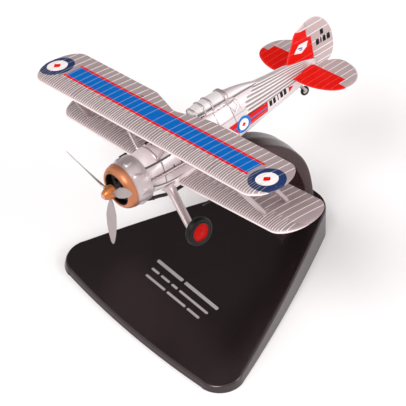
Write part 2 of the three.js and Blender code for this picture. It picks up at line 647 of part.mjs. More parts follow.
function undercarriageLeg(sign) {
  const top = legTop(sign), low = legLow(sign);
  let leg = join(
    streamlinedBar(top, low, LEG_SECTION, LEG_STATIONS),
    rod(lerpPoint(top, low, 0.1), lerpPoint(top, low, -0.09), 0.9));
  const axleHole = rod([WHEEL.x, sign * 14, WHEEL.z], [WHEEL.x, sign * 21, WHEEL.z], 0.62);
  // the wing is cut away at three heights, which leaves a gap around it
  const wing = lowerWingPanel(sign);
  leg = cut(leg, axleHole, ...[-0.3, 0, 0.3].map((dz) => wing.translate([0.3, 0, dz])));
  // the flare fits the belly with a small gap, but the spigot at the top is kept
  const spigotEnd = [top[0] + 0.17, top[1] - sign * 0.72, top[2] + 1.75];
  const bellyRoom = fuselageLoft(BELLY_GROW + 0.2, FUSELAGE_FRONT, -60)
    .intersect(centredBox(-40, -17, 12, -20, SEAM_LOW))
    .subtract(rod(top, spigotEnd, 1.0, 14));
  return cut(largestPart(leg), bellyRoom);
}

const axlePin = (sign) =>
  rod([WHEEL.x, sign * 15.9, WHEEL.z], [WHEEL.x, sign * 21.1, WHEEL.z], 0.5);

const tyre = () => latheY([
  [-1.15, 3.75], [-1.6, 4.6], [-1.25, 5.4], [-0.45, WHEEL.radius],
  [0.45, WHEEL.radius], [1.25, 5.4], [1.6, 4.6], [1.15, 3.75],
], 22);

function wheelDisc(sign) {
  // [distance outboard of the wheel's middle, radius]
  const profile = [
    [-1.45, 0], [-1.45, 1.3], [-1.15, 1.6], [-1.15, 3.65], [1.05, 3.65], [1.35, 2.2], [1.46, 0],
  ];
  const disc = latheY(profile.map(([y, radius]) => [y * sign, radius]), 18);
  return cut(disc, rod([0, sign * -2.2, 0], [0, sign * 0.75, 0], 0.58, 14));
}

// ================================================================ tail
// [x, y] of the port half, round the tailplane and elevator
const TAILPLANE = [
  [-91.7, 3.0], [-91.7, 9.0], [-92.3, 13.2], [-93.6, 17.4], [-95.4, 20.9], [-97.7, 23.2],
  [-99.9, 24.2], [-102.2, 24.45], [-104.6, 24.1], [-106.9, 22.9], [-109.3, 20.4],
  [-111.2, 16.9], [-112.2, 13.0], [-112.5, 9.8], [-111.6, 6.4], [-109.3, 4.4],
  [-106.2, 2.9], [-104.0, 2.1],
];
// [x, z] round the fin and rudder, from the front of the fin
const FIN = [
  [-92.2, 7.75], [-95.8, 14.9], [-97.5, 18.1], [-99.0, 19.3], [-100.9, 20.0], [-103.6, 21.1],
  [-106.0, 21.5], [-108.3, 21.3], [-110.4, 20.4], [-112.5, 18.7], [-114.2, 16.4],
  [-115.3, 14.0], [-115.95, 11.6], [-116.1, 8.4], [-115.95, 5.6], [-115.3, 3.4],
  [-113.9, 1.3], [-112.1, 0.1], [-109.8, -0.6], [-107.4, -1.2], [-105.5, -1.6],
  [-105.5, 4.2], [-100.0, 5.8],
];

function tailplane() {
  const outline = [...TAILPLANE, ...TAILPLANE.map(([x, y]) => [x, -y]).reverse()];
  const plate = bevelledPlate(outline, 0.5, 0.3, 0.55).translate(0, 0, TAIL_SLOT_Z);
  return cut(toManifold(plate), centredBox(-107, -103.4, 1.9, 0, 6));
}

function finAndRudder() {
  const plate = toManifold(bevelledPlate(FIN, 0.4, 0.35, 0.5).rotateX(Math.PI / 2));
  // the fuselage is cleared from the fin, except where the fin enters its seat
  const fuselageRoom = cut(fuselageLoft(0.2, -88),
    centredBox(-106, -91.7, 0.62, TAIL_SLOT_Z + 1.2, 12));
  return join(cut(plate, fuselageRoom),
    centredBox(-103.8, -97.2, 0.5, TAIL_SLOT_Z + 1.3, 7.0));
}

// one moulding
function tailWheelAndFork() {
  const wheel = latheY([
    [-0.75, 0], [-0.75, 1.35], [-0.5, 1.75], [0, 1.9], [0.5, 1.75], [0.75, 1.35], [0.75, 0],
  ], 16).translate([-98.6, 0, -7.2]);
  const stem = rod([-97.2, 0, -1.5], [-97.3, 0, -5.6], 0.6);
  const octagon = [
    [1, -0.6], [0.6, -1], [-0.6, -1], [-1, -0.6], [-1, 0.6], [-0.6, 1], [0.6, 1], [1, 0.6],
  ];
  // [x, z, half length, half width]
  const forkStations = [
    [-97.2, -4.6, 0.62, 0.85], [-98.2, -5.6, 1.25, 1.05], [-98.6, -7.3, 0.9, 1.02],
  ];
  const fork = loft(forkStations.map(([x, z, length, width]) =>
    octagon.map(([u, v]) => [x + u * length, v * width, z])));
  return join(wheel, stem, fork);
}

// ================================================================ engine
// lathe profiles are [x, radius]
const engineCowl = () => latheX([
  [COWL_FRONT - 0.15, COWL_RADIUS], [-12.4, 9.62], [-14.6, 9.85], [COWL_REAR, 9.75],
  [COWL_REAR, 9.3], [-14.0, 9.35], [COWL_FRONT - 0.15, 8.7],
], 26);

const collectorRing = () => latheX([
  [COWL_FRONT, COWL_RADIUS], [-8.6, 9.02], [-7.1, 8.5], [-6.2, 7.85], [-6.1, 7.2],
  [-6.7, 6.65], [COWL_FRONT, 7.4],
], 26);

// crankcase, rear flange and spigot, a ring of cylinders, and the propeller shaft's bore
function radialEngine() {
  const cylinderX = -12.9;
  let engine = latheX([
    [-8.6, 0], [-8.6, 1.5], [-9.4, 2.6], [-10.2, 3.1], [-14.8, 3.1], [-14.8, 9.0],
    [-15.9, 9.0], [-15.9, 2.1], [-20.6, 2.1], [-20.6, 0],
  ], 18);
  for (let i = 0; i < CYLINDERS; i++) {
    const angle = rad(90 + (i * 360) / CYLINDERS);
    const at = (radius) => [cylinderX, radius * Math.cos(angle), radius * Math.sin(angle)];
    engine = join(engine, rod(at(2.6), at(8.6), 1.35, 6));
  }
  return cut(engine, rodX(-8, -13.6, 0, 0.7, 16));
}

function exhaustPipe(sign) {
  const path = [      // port side
    [-9.8, 3.7, -9.45], [-12.4, 3.8, -9.9], [-16.5, 3.9, -9.95],
    [-20.6, 3.9, -10.6], [-25.5, 3.7, -11.3], [-33.8, 3.5, -12.0],
  ];
  return pipe(path.map(([x, y, z]) => [x, sign * y, z]), 0.72, 8, 9);
}

// ================================================================ guns
function underwingGun(sign) {
  const segments = 10;
  const y = sign * UNDERWING_GUN_Y;
  const z = wingZ(LOWER_WING, y) - 1.6;
  const barrel = rod([-26.2, y, z], [-31, y, z], 0.42, segments);
  const bodyStations = [[-29.8, 0.45], [-30.8, 0.85], [-36.5, 0.9], [-39.5, 0.5]];
  const body = loft(bodyStations.map(([x, radius]) =>
    Array.from({ length: segments }, (_, i) => {
      const angle = (i * 2 * Math.PI) / segments;
      return [x, y + radius * Math.cos(angle), z + radius * Math.sin(angle)];
    })));
  return join(barrel, body);
}

const gunSight = () => join(rodX(-23.0, -26.6, 10.7, 0.38, 10), rodZ(-25.6, 10.6, 9.0, 0.3, 8));

// ================================================================ cockpit
// [x, half width at the sill, sill z, top z]
const CANOPY = [
  [-43.6, 1.9, 10.6, 11.6], [-45.6, 2.9, 10.7, 13.0], [-48.2, 3.25, 10.8, 13.6],
  [-54.0, 3.35, 11.1, 13.8], [-60.6, 3.2, 11.5, 13.7],
];
// [front x, rear x] of each hoop of the frame
const CANOPY_HOOPS = [
  [-43.4, -44.1], [-46.0, -46.6], [-49.0, -49.6], [-52.2, -52.8], [-56.0, -56.6], [-60.0, -60.8],
];

// rings arched over the sill, grown outwards and carried down below it by `drop`
function canopyRings(rows, grow, drop) {
  return rows.map(([x, sillHalf, sill, top]) => {
    const half = sillHalf + grow, rise = top + grow - sill;
    const ring = [[x, half, sill - drop]];
    for (let i = 0; i <= 5; i++) {
      const angle = (i / 5) * Math.PI;
      const c = Math.cos(angle), s = Math.sin(angle);
      ring.push([x, half * Math.sign(c) * Math.abs(c) ** 0.72, sill + 0.02 + rise * s ** 0.8]);
    }
    ring.push([x, -half, sill - drop]);
    return ring;
  });
}
const canopyFuselageRoom = () => fuselageLoft(0.12, -40, -63);

function canopyGlazing() {
  const innerRows = [
    [-43.0, 1.6, 10.6, 11.3], ...CANOPY.slice(1, -1), [-61.5, 3.2, 11.55, 13.7],
  ];
  const outer = loft(canopyRings(CANOPY, 0, 0.25));
  const inner = loft(canopyRings(innerRows, -0.4, 1.2));
  return largestPart(cut(outer, inner, canopyFuselageRoom()));
}

// hoops, sill rails and a ridge bar outside the glass, in one piece
function canopyFrame() {
  const inner = canopyRings(CANOPY, 0.12, 0.6);
  // the inner loft runs out past both ends, so that the shell is open there
  inner[0] = inner[0].map(([x, y, z]) => [x + 0.6, y * 0.9, z]);
  inner.push(inner.pop().map(([x, y, z]) => [x - 0.6, y, z]));
  const shell = cut(loft(canopyRings(CANOPY, 0.42, 0.1)), loft(inner));
  const hoops = CANOPY_HOOPS.map(([front, rear]) =>
    shell.intersect(centredBox(rear, front, 6, 5, 20)));
  const rails = shell.intersect(
    join(centredBox(-61, -43, 6, 5, 12.1), centredBox(-61, -43, 0.28, 12, 20)));
  return largestPart(cut(join(...hoops, rails), canopyFuselageRoom()));
}

const pilotSeat = () => join(
  centredBox(-56.6, -52.2, 1.9, 6.0, 6.8),       // cushion
  centredBox(-56.9, -56.1, 1.9, 6.4, 10.9),      // back
  centredBox(-55.2, -53.6, 0.6, 4.6, 6.2),       // pedestal
  box(-56.5, -52.8, 1.4, 1.9, 6.5, 8.0),         // side pieces
  box(-56.5, -52.8, -1.9, -1.4, 6.5, 8.0),
);

const instrumentPanel = () => centredBox(-46.2, -45.5, 2.8, 6.2, 9.8);

// ================================================================ propeller
// [radius, chord, thickness, blade angle in degrees]
const BLADE_STATIONS = [
  [1.2, 1.3, 1.3, 58], [3.4, 1.35, 1.05, 51], [5.4, 2.3, 0.85, 44],
  [7.6, 3.2, 0.75, 38], [10.2, 3.85, 0.65, 33], [13.4, 3.8, 0.55, 29],
  [17.4, 3.0, 0.42, 25], [20.6, 1.7, 0.32, 22], [PROP_RADIUS, 0.45, 0.24, 20],
];
// unit section: [along the chord, across it]
const BLADE_SECTION = [
  [0.5, 0], [0.15, 0.5], [-0.25, 0.4], [-0.5, 0], [-0.25, -0.4], [0.15, -0.5],
];

function blade(degrees) {
  const c = Math.cos(rad(degrees)), s = Math.sin(rad(degrees));
  const rootRadius = 1.6;       // the blade starts to sweep forward here
  return loft(BLADE_STATIONS.map(([radius, chord, thickness, pitch]) => {
    const outward = Math.max(0, radius - rootRadius) / (PROP_RADIUS - rootRadius);
    const centre = [lerp(PROP_ROOT_X, PROP_TIP_X, outward), radius * c, radius * s];
    const cosPitch = Math.cos(rad(pitch)), sinPitch = Math.sin(rad(pitch));
    const along = [-sinPitch, -s * cosPitch, c * cosPitch];
    const across = [cosPitch, -s * sinPitch, c * sinPitch];
    return BLADE_SECTION.map(([u, v]) =>
      centre.map((value, k) => value + along[k] * u * chord + across[k] * v * thickness));
  }));
}

function propellerBlades() {
  const hub = latheX([[-2.9, 0], [-2.9, 1.7], [-5.1, 1.7], [-5.1, 0]], 24);
  return cut(join(hub, ...BLADE_ANGLES.map(blade)), rodX(-2, -6, 0, 0.68, 16));
}

const propellerShaft = () =>
  join(rodX(-2.6, -13.2, 0, 0.6, 16), rodX(-5.3, -6.4, 0, 1.2, 16));

// hollow cone with a slot for each blade
function spinner() {
  const cone = latheX([
    [0, 0], [-0.25, 0.75], [-0.9, 1.5], [-1.9, 2.2], [-3.2, 2.72], [-5.1, 2.95],
    [-5.1, 2.4], [-3.3, 2.15], [-2.1, 1.5], [-2.1, 0],
  ], 18);
  const slot = box(-6.5, -2.9, 0.6, 4.6, -0.95, 0.95);
  return cut(cone, ...BLADE_ANGLES.map((degrees) => slot.rotate([degrees, 0, 0])));
}

// ================================================================ assembly
add(stand, 'stand_base', standBase(), 'standBlack');
add(stand, 'stand_underside_plate', standPlate(), 'black');
add(stand, 'support_arm', supportArm(), 'standBlack');
add(stand, 'mounting_peg', mountingPeg(), 'steel');
for (const [place, x] of Object.entries(ARM_SCREWS)) {
  add(stand, `arm_screw_${place}`, armScrew(x), 'steel');
}

add(airframe, 'fuselage_casting', fuselageCasting(), 'silver');
add(airframe, 'forward_decking', forwardDecking(), 'silver');
add(airframe, 'lower_wing_and_belly', lowerWingAndBelly(), 'silver');
for (const [place, x] of Object.entries(BELLY_SCREWS)) {
  add(airframe, `belly_screw_${place}`, bellyScrew(x), 'steel');
}

for (const [side, sign] of SIDES) {
  add(airframe, `${side}_undercarriage_leg`, undercarriageLeg(sign), 'silverLight');
  add(airframe, `${side}_axle_pin`, axlePin(sign), 'steel');
  const wheel = addGroup(aircraft, `${side}_wheel`);
  wheel.position.set(WHEEL.x, sign * WHEEL.y, WHEEL.z);
  add(wheel, `${side}_tyre`, tyre(), 'tyre');
  add(wheel, `${side}_wheel_disc`, wheelDisc(sign), 'red');
}

add(airframe, 'tailplane_with_elevators', tailplane(), 'silver');
add(airframe, 'fin_and_rudder', finAndRudder(), 'red');
add(airframe, 'tail_wheel_and_fork', tailWheelAndFork(), 'gunmetal');

add(airframe, 'upper_wing', upperWing(), 'silver');
for (const ends of INTERPLANE) {
  add(airframe, ends.name, strut(ends, INTERPLANE_SIZE), 'silverLight');
}
for (const ends of CABANE) add(airframe, ends.name, strut(ends, CABANE_SIZE), 'silverLight');

add(airframe, 'engine_cowl', engineCowl(), 'silver');
add(airframe, 'copper_collector_ring', collectorRing(), 'copper');
add(airframe, 'radial_engine', radialEngine(), 'gunmetal');
for (const [side, sign] of SIDES) {
  add(airframe, `${side}_exhaust_pipe`, exhaustPipe(sign), 'exhaust');
  const blastTube = gunRod(sign, -17.2, -34.3, 0.72, 12);
  add(airframe, `${side}_gun_blast_tube`, blastTube, 'silverLight');
  add(airframe, `${side}_underwing_gun`, underwingGun(sign), 'gunmetal');
}
add(airframe, 'gun_sight', gunSight(), 'gunmetal');

add(airframe, 'canopy_glazing', canopyGlazing(), 'glass');
add(airframe, 'canopy_frame', canopyFrame(), 'silverLight');
add(airframe, 'pilot_seat', pilotSeat(), 'leather');
add(airframe, 'instrument_panel', instrumentPanel(), 'black');

const propeller = addGroup(aircraft, 'propeller_group');
add(propeller, 'propeller_blades', propellerBlades(), 'silverLight');
add(propeller, 'propeller_shaft', propellerShaft(), 'steel');
add(propeller, 'spinner', spinner(), 'copper');

export default group;
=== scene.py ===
# Model biplane with a radial engine, held over a black display stand by a curved arm.
# The aircraft is drawn in mm in its own axes: x forward with 0 at the spinner tip, y to port,
# z up with 0 on the thrust line. The stand is drawn in mm with x forward from its front edge,
# y across and z up from the ground.
import json
import math

import bpy
import numpy as np
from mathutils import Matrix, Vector


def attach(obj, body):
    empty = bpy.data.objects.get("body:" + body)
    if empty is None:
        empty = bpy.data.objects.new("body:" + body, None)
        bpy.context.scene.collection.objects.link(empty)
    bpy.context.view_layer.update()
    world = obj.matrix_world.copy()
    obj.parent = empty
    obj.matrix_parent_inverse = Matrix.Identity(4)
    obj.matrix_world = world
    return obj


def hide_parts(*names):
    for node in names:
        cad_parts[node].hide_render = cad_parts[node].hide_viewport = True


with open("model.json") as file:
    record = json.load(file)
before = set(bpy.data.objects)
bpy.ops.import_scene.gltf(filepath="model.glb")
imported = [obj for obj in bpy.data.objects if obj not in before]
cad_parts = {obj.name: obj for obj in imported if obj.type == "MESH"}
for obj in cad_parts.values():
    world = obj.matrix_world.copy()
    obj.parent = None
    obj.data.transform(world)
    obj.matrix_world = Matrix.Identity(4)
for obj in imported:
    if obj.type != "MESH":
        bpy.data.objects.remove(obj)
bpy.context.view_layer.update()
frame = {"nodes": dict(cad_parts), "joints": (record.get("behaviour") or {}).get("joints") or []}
joints = {joint["name"]: joint for joint in frame["joints"]}
rad = math.radians


# ------------------------------------------------------------------ axes and shared sizes
def joint_axis(name):
    return np.array(joints[name]["axis"], float)


def joint_mm(name):
    return np.array(joints[name]["pos_m"], float) * 1000


HUB_DEPTH = 5                   # propeller joint behind the spinner tip
FORWARD = joint_axis("propeller_spin")
TURN = np.column_stack([FORWARD, joint_axis("port_wheel_spin"), joint_axis("aircraft_lift_off")])
ORIGIN = joint_mm("propeller_spin") + HUB_DEPTH * FORWARD
WHEEL = (joint_mm("port_wheel_spin") - ORIGIN) @ TURN
STAND_SHIFT = np.array([50.0, 0, 0])

SIDES = ((1, "port"), (-1, "starboard"))
AROUND = np.linspace(0, 2 * math.pi, 28, endpoint=False)    # angles round a streamlined section
MIN_GAP = 0.02                  # closest spacing of mesh stations


# ------------------------------------------------------------------ curves and distances
def smooth_curve(stations, values, x):
    """Smooth, overshoot-free curve through the points; stations rise, ends hold their value."""
    stations, values, x = (np.asarray(a, float) for a in (stations, values, x))
    gaps = np.diff(stations)
    slopes = np.diff(values) / gaps
    tangents = np.zeros(len(stations))
    tangents[0], tangents[-1] = slopes[0], slopes[-1]
    for i in range(1, len(stations) - 1):
        if slopes[i - 1] * slopes[i] > 0:
            before, after = 2 * gaps[i] + gaps[i - 1], gaps[i] + 2 * gaps[i - 1]
            tangents[i] = (before + after) / (before / slopes[i - 1] + after / slopes[i])
    k = np.clip(np.searchsorted(stations, x) - 1, 0, len(stations) - 2)
    t = np.clip((x - stations[k]) / gaps[k], 0, 1)
    return (values[k] * (2 * t**3 - 3 * t**2 + 1)
            + gaps[k] * tangents[k] * (t**3 - 2 * t**2 + t)
            + values[k + 1] * (3 * t**2 - 2 * t**3)
            + gaps[k] * tangents[k + 1] * (t**3 - t**2))


def read_table(table, x):
    """Every further column of a table at x, measured along its first column."""
    columns = np.asarray(table, float).T
    return [smooth_curve(columns[0], column, x) for column in columns[1:]]


def rise(low, high, x):
    """0 below low, 1 above high, eased between."""
    t = np.clip((x - low) / (high - low), 0, 1)
    return t * t * (3 - 2 * t)


def fade(low, high, x):
    return 1 - rise(low, high, x)


def unit(vector):
    return vector / np.linalg.norm(vector)


def thinned(stations):
    return stations[np.concatenate([[True], np.abs(np.diff(stations)) > MIN_GAP])]


def polygon_distance(x, z, corners):
    """Signed distance to a polygon, negative inside."""
    corners = np.asarray(corners, float)
    nearest = np.full(np.shape(x), 1e9)
    inside = np.zeros(np.shape(x), bool)
    for start, end in zip(corners, np.roll(corners, -1, 0)):
        edge_x, edge_z = end - start
        from_x, from_z = x - start[0], z - start[1]
        t = np.clip((from_x * edge_x + from_z * edge_z) / (edge_x**2 + edge_z**2), 0, 1)
        nearest = np.minimum(nearest, np.hypot(from_x - edge_x * t, from_z - edge_z * t))
        crosses = (start[1] > z) != (end[1] > z)
        inside ^= crosses & (x < start[0] + from_z * edge_x / (edge_z or 1e-12))
    return np.where(inside, -nearest, nearest)


def box_distance(x, z, centre, half, turn=0.0):
    """Signed distance to a box turned by an angle, negative inside."""
    cos, sin = math.cos(turn), math.sin(turn)
    off_x, off_z = x - centre[0], z - centre[1]
    out_x = np.abs(off_x * cos + off_z * sin) - half[0]
    out_z = np.abs(-off_x * sin + off_z * cos) - half[1]
    outside = np.hypot(np.maximum(out_x, 0), np.maximum(out_z, 0))
    return outside + np.minimum(np.maximum(out_x, out_z), 0)


def union(*distances):
    return np.minimum.reduce(distances)


# ------------------------------------------------------------------ node materials
def linear(rgb):
    """sRGB bytes to linear colour."""
    return tuple(c / 12.92 if c <= 0.04045 else ((c + 0.055) / 1.055) ** 2.4
                 for c in (byte / 255 for byte in rgb))


def scaled(colour, gain, lift=0.0):
    return tuple(min(1, c * gain + lift) for c in colour)


class Material:
    """A principled material; cad pieces take their place from object coordinates."""
    EDGE_SOFTNESS = 0.06        # mm, half the blur at the edge of a printed region

    def __init__(self, name, cad=False):
        self.material = bpy.data.materials.new(name)
        self.material.use_nodes = True
        self.tree = self.material.node_tree
        self.tree.nodes.clear()
        self.output = self.node("OutputMaterial")
        self.principled = self.node("BsdfPrincipled")
        self.feed(self.output.inputs[0], self.principled.outputs[0])
        if cad:
            to_mm = self.node("VectorMath")
            to_mm.operation = "SCALE"
            self.feed(to_mm.inputs[0], self.node("TexCoord").outputs["Object"])
            to_mm.inputs["Scale"].default_value = 1000
            self.place = to_mm.outputs[0]
        else:
            self.place = self.attribute("pmm").outputs["Vector"]

    def node(self, kind):
        return self.tree.nodes.new("ShaderNode" + kind)

    def feed(self, socket, value):
        """Links a socket, or sets a colour or a number."""
        if isinstance(value, bpy.types.NodeSocket):
            self.tree.links.new(value, socket)
        else:
            socket.default_value = (*value, 1.0) if isinstance(value, tuple) else value

    def shade(self, inputs):
        for name, value in inputs.items():
            self.feed(self.principled.inputs[name], value)

    def math(self, operation, first, second, clamp=False):
        node = self.node("Math")
        node.operation, node.use_clamp = operation, clamp
        self.feed(node.inputs[0], first)
        self.feed(node.inputs[1], second)
        return node.outputs[0]

    def attribute(self, name):
        node = self.node("Attribute")
        node.attribute_name = name
        return node

    def amount(self, name):
        return self.attribute(name).outputs["Fac"]

    def remap(self, value, source, target=(0.0, 1.0), smooth=False):
        node = self.node("MapRange")
        if smooth:
            node.interpolation_type = "SMOOTHSTEP"
        limits = ("From Min", "From Max", "To Min", "To Max")
        for name, limit in zip(limits, (*source, *target)):
            node.inputs[name].default_value = limit
        self.feed(node.inputs["Value"], value)
        return node.outputs[0]

    def noise(self, scale, detail=3.0, roughness=0.55, low=0.0, high=1.0):
        node = self.node("TexNoise")
        self.feed(node.inputs["Vector"], self.place)
        node.inputs["Scale"].default_value = scale
        node.inputs["Detail"].default_value = detail
        node.inputs["Roughness"].default_value = roughness
        return self.remap(node.outputs["Fac"], (0.25, 0.75), (low, high))

    def mix(self, share, first, second):
        node = self.node("Mix")
        node.data_type = "RGBA"
        for index, value in ((0, share), (6, first), (7, second)):
            self.feed(node.inputs[index], value)
        return node.outputs[2]

    def mask(self, name):
        """1 inside the region whose signed distance in mm is stored in the attribute."""
        return self.remap(self.amount(name), (self.EDGE_SOFTNESS, -self.EDGE_SOFTNESS))

    def bump(self, height, depth_mm):
        node = self.node("Bump")
        node.inputs["Distance"].default_value = depth_mm * 1e-3
        self.feed(node.inputs["Height"], height)
        self.feed(self.principled.inputs["Normal"], node.outputs[0])


# painted rib highlight where a rib crosses a printed layer
RIB_HIGHLIGHT_OVER_PAINT = (0.75, 0.75, 0.75)
# near-black colour of the painted shade in hollows
HOLLOW_SHADE = (0.05, 0.045, 0.045)
# dark colour of panel joints and of painted shade
JOINT_AND_SHADE_INK = linear((44, 36, 38))


def painted(name, base, metallic=0.4, roughness=0.42, layers={}, layer_metallic={}, rib=None,
            rib_show=0.22, lines=False, cad=False, vary=0.05, bump=0.0015, grain=1.1,
            hollow_shade=0.12, edge=0.25, specular=0.3, tint=None):
    """Paint or bare metal: colour drift, printed layers, painted shade in hollows, wear on edges.

    layers: colour of each signed-distance attribute, first one lowest. rib: colour of the painted
    highlight on raised ribs and edges, rib_show: how far it shows through a layer. bump is in mm at
    noise scale grain.
    """
    mat = Material(name, cad)
    base = linear(base)
    colour = mat.mix(mat.noise(scale=0.11, detail=4), scaled(base, 1 - vary),
                     scaled(base, 1 + vary))
    speckle = mat.math("MULTIPLY", mat.noise(scale=1.7, detail=2), 0.35)
    colour = mat.mix(speckle, colour, scaled(base, 1 - vary * 0.8))
    if rib:
        # painted highlight on raised ribs, stringers and edges
        colour = mat.mix(mat.amount("rib"), colour, linear(rib))
    for region, rgb in layers.items():
        inside = mat.mask(region)
        flat = linear(rgb)
        paint = mat.mix(mat.noise(scale=0.5), scaled(flat, 0.93), scaled(flat, 1.06))
        if rib:
            # the painted rib highlight shows faintly through the layer
            shown = mat.math("MULTIPLY", mat.amount("rib"), rib_show)
            paint = mat.mix(shown, paint, RIB_HIGHLIGHT_OVER_PAINT)
        colour = mat.mix(inside, colour, paint)
        outside = mat.math("SUBTRACT", 1.0, inside)
        linked = isinstance(metallic, bpy.types.NodeSocket)
        factors = (metallic, outside) if linked else (outside, metallic)
        metallic = mat.math("ADD", mat.math("MULTIPLY", *factors),
                            mat.math("MULTIPLY", inside, layer_metallic.get(region, 0.0)))
    if lines:
        # dark panel joints, and painted shade beside raised parts and between nose ribs
        colour = mat.mix(mat.math("MULTIPLY", mat.amount("line"), 0.88), colour, JOINT_AND_SHADE_INK)
    # painted shade: darker where the surface is concave
    pointiness = mat.node("NewGeometry").outputs["Pointiness"]
    colour = mat.mix(mat.remap(pointiness, (0.30, 0.44), (hollow_shade, 0.0)), colour, HOLLOW_SHADE)
    worn = mat.remap(pointiness, (0.53, 0.66), (0.0, edge))
    worn = mat.math("MULTIPLY", worn, mat.noise(scale=0.9, detail=4))
    colour = mat.mix(worn, colour, scaled(base, 1.35, 0.06))
    shine = specular
    if layers:                  # printed regions reflect less
        covered = 0.0
        for region in layers:
            covered = mat.math("ADD", mat.mask(region), covered, clamp=True)
        shine = mat.math("SUBTRACT", specular, mat.math("MULTIPLY", covered, specular * 0.62))
    mat.shade({
        "Base Color": colour,
        "Metallic": metallic,
        "Roughness": mat.noise(scale=0.8, detail=4, low=roughness * 0.86,
                               high=roughness * 1.16),
        "Specular IOR Level": shine})
    if tint:
        mat.shade({"Specular Tint": tint})
    mat.bump(mat.noise(scale=grain, roughness=0.5), bump)
    return mat.material


def canopy_material():
    """Clear low down, turning milky towards the top of the canopy: a painted reflection."""
    mat = Material("canopy_clear")
    clear = mat.node("BsdfTransparent")
    mat.feed(clear.inputs["Color"],
             mat.mix(mat.noise(scale=0.4), (0.80, 0.80, 0.81), (0.92, 0.92, 0.93)))
    mat.shade({
        "Base Color": mat.mix(mat.noise(scale=0.3), (0.80, 0.76, 0.76), (0.90, 0.87, 0.87)),
        "Roughness": mat.noise(scale=0.9, detail=4, low=0.10, high=0.22)})
    mat.bump(mat.noise(scale=0.6), 0.03)
    split = mat.node("SeparateXYZ")
    mat.feed(split.inputs[0], mat.place)
    # painted reflection: the glass turns milky higher up
    top_reflection = mat.remap(split.outputs["Z"], (11.5, 12.6), (0.06, 0.66), smooth=True)
    blend = mat.node("MixShader")
    mat.feed(blend.inputs[0], mat.math("ADD", top_reflection, mat.noise(scale=0.35, high=0.16)))
    mat.feed(blend.inputs[1], clear.outputs[0])
    mat.feed(blend.inputs[2], mat.principled.outputs[0])
    mat.feed(mat.output.inputs[0], blend.outputs[0])
    return mat.material


NAVY, RED, WHITE, BLUE = (34, 54, 96), (226, 6, 0), (240, 232, 231), (0, 100, 182)
SKY, BLACK, TAIL_RED = (10, 116, 196), (16, 13, 15), (214, 16, 6)
# the pale and bright tones here are painted highlights for raised ribs and stringers
SILVER, PALE_RIB_HIGHLIGHT, TAIL_SILVER, BRIGHT_RIB_HIGHLIGHT = (178, 161, 161), (240, 229, 229), (188, 170, 170), (246, 238, 238)

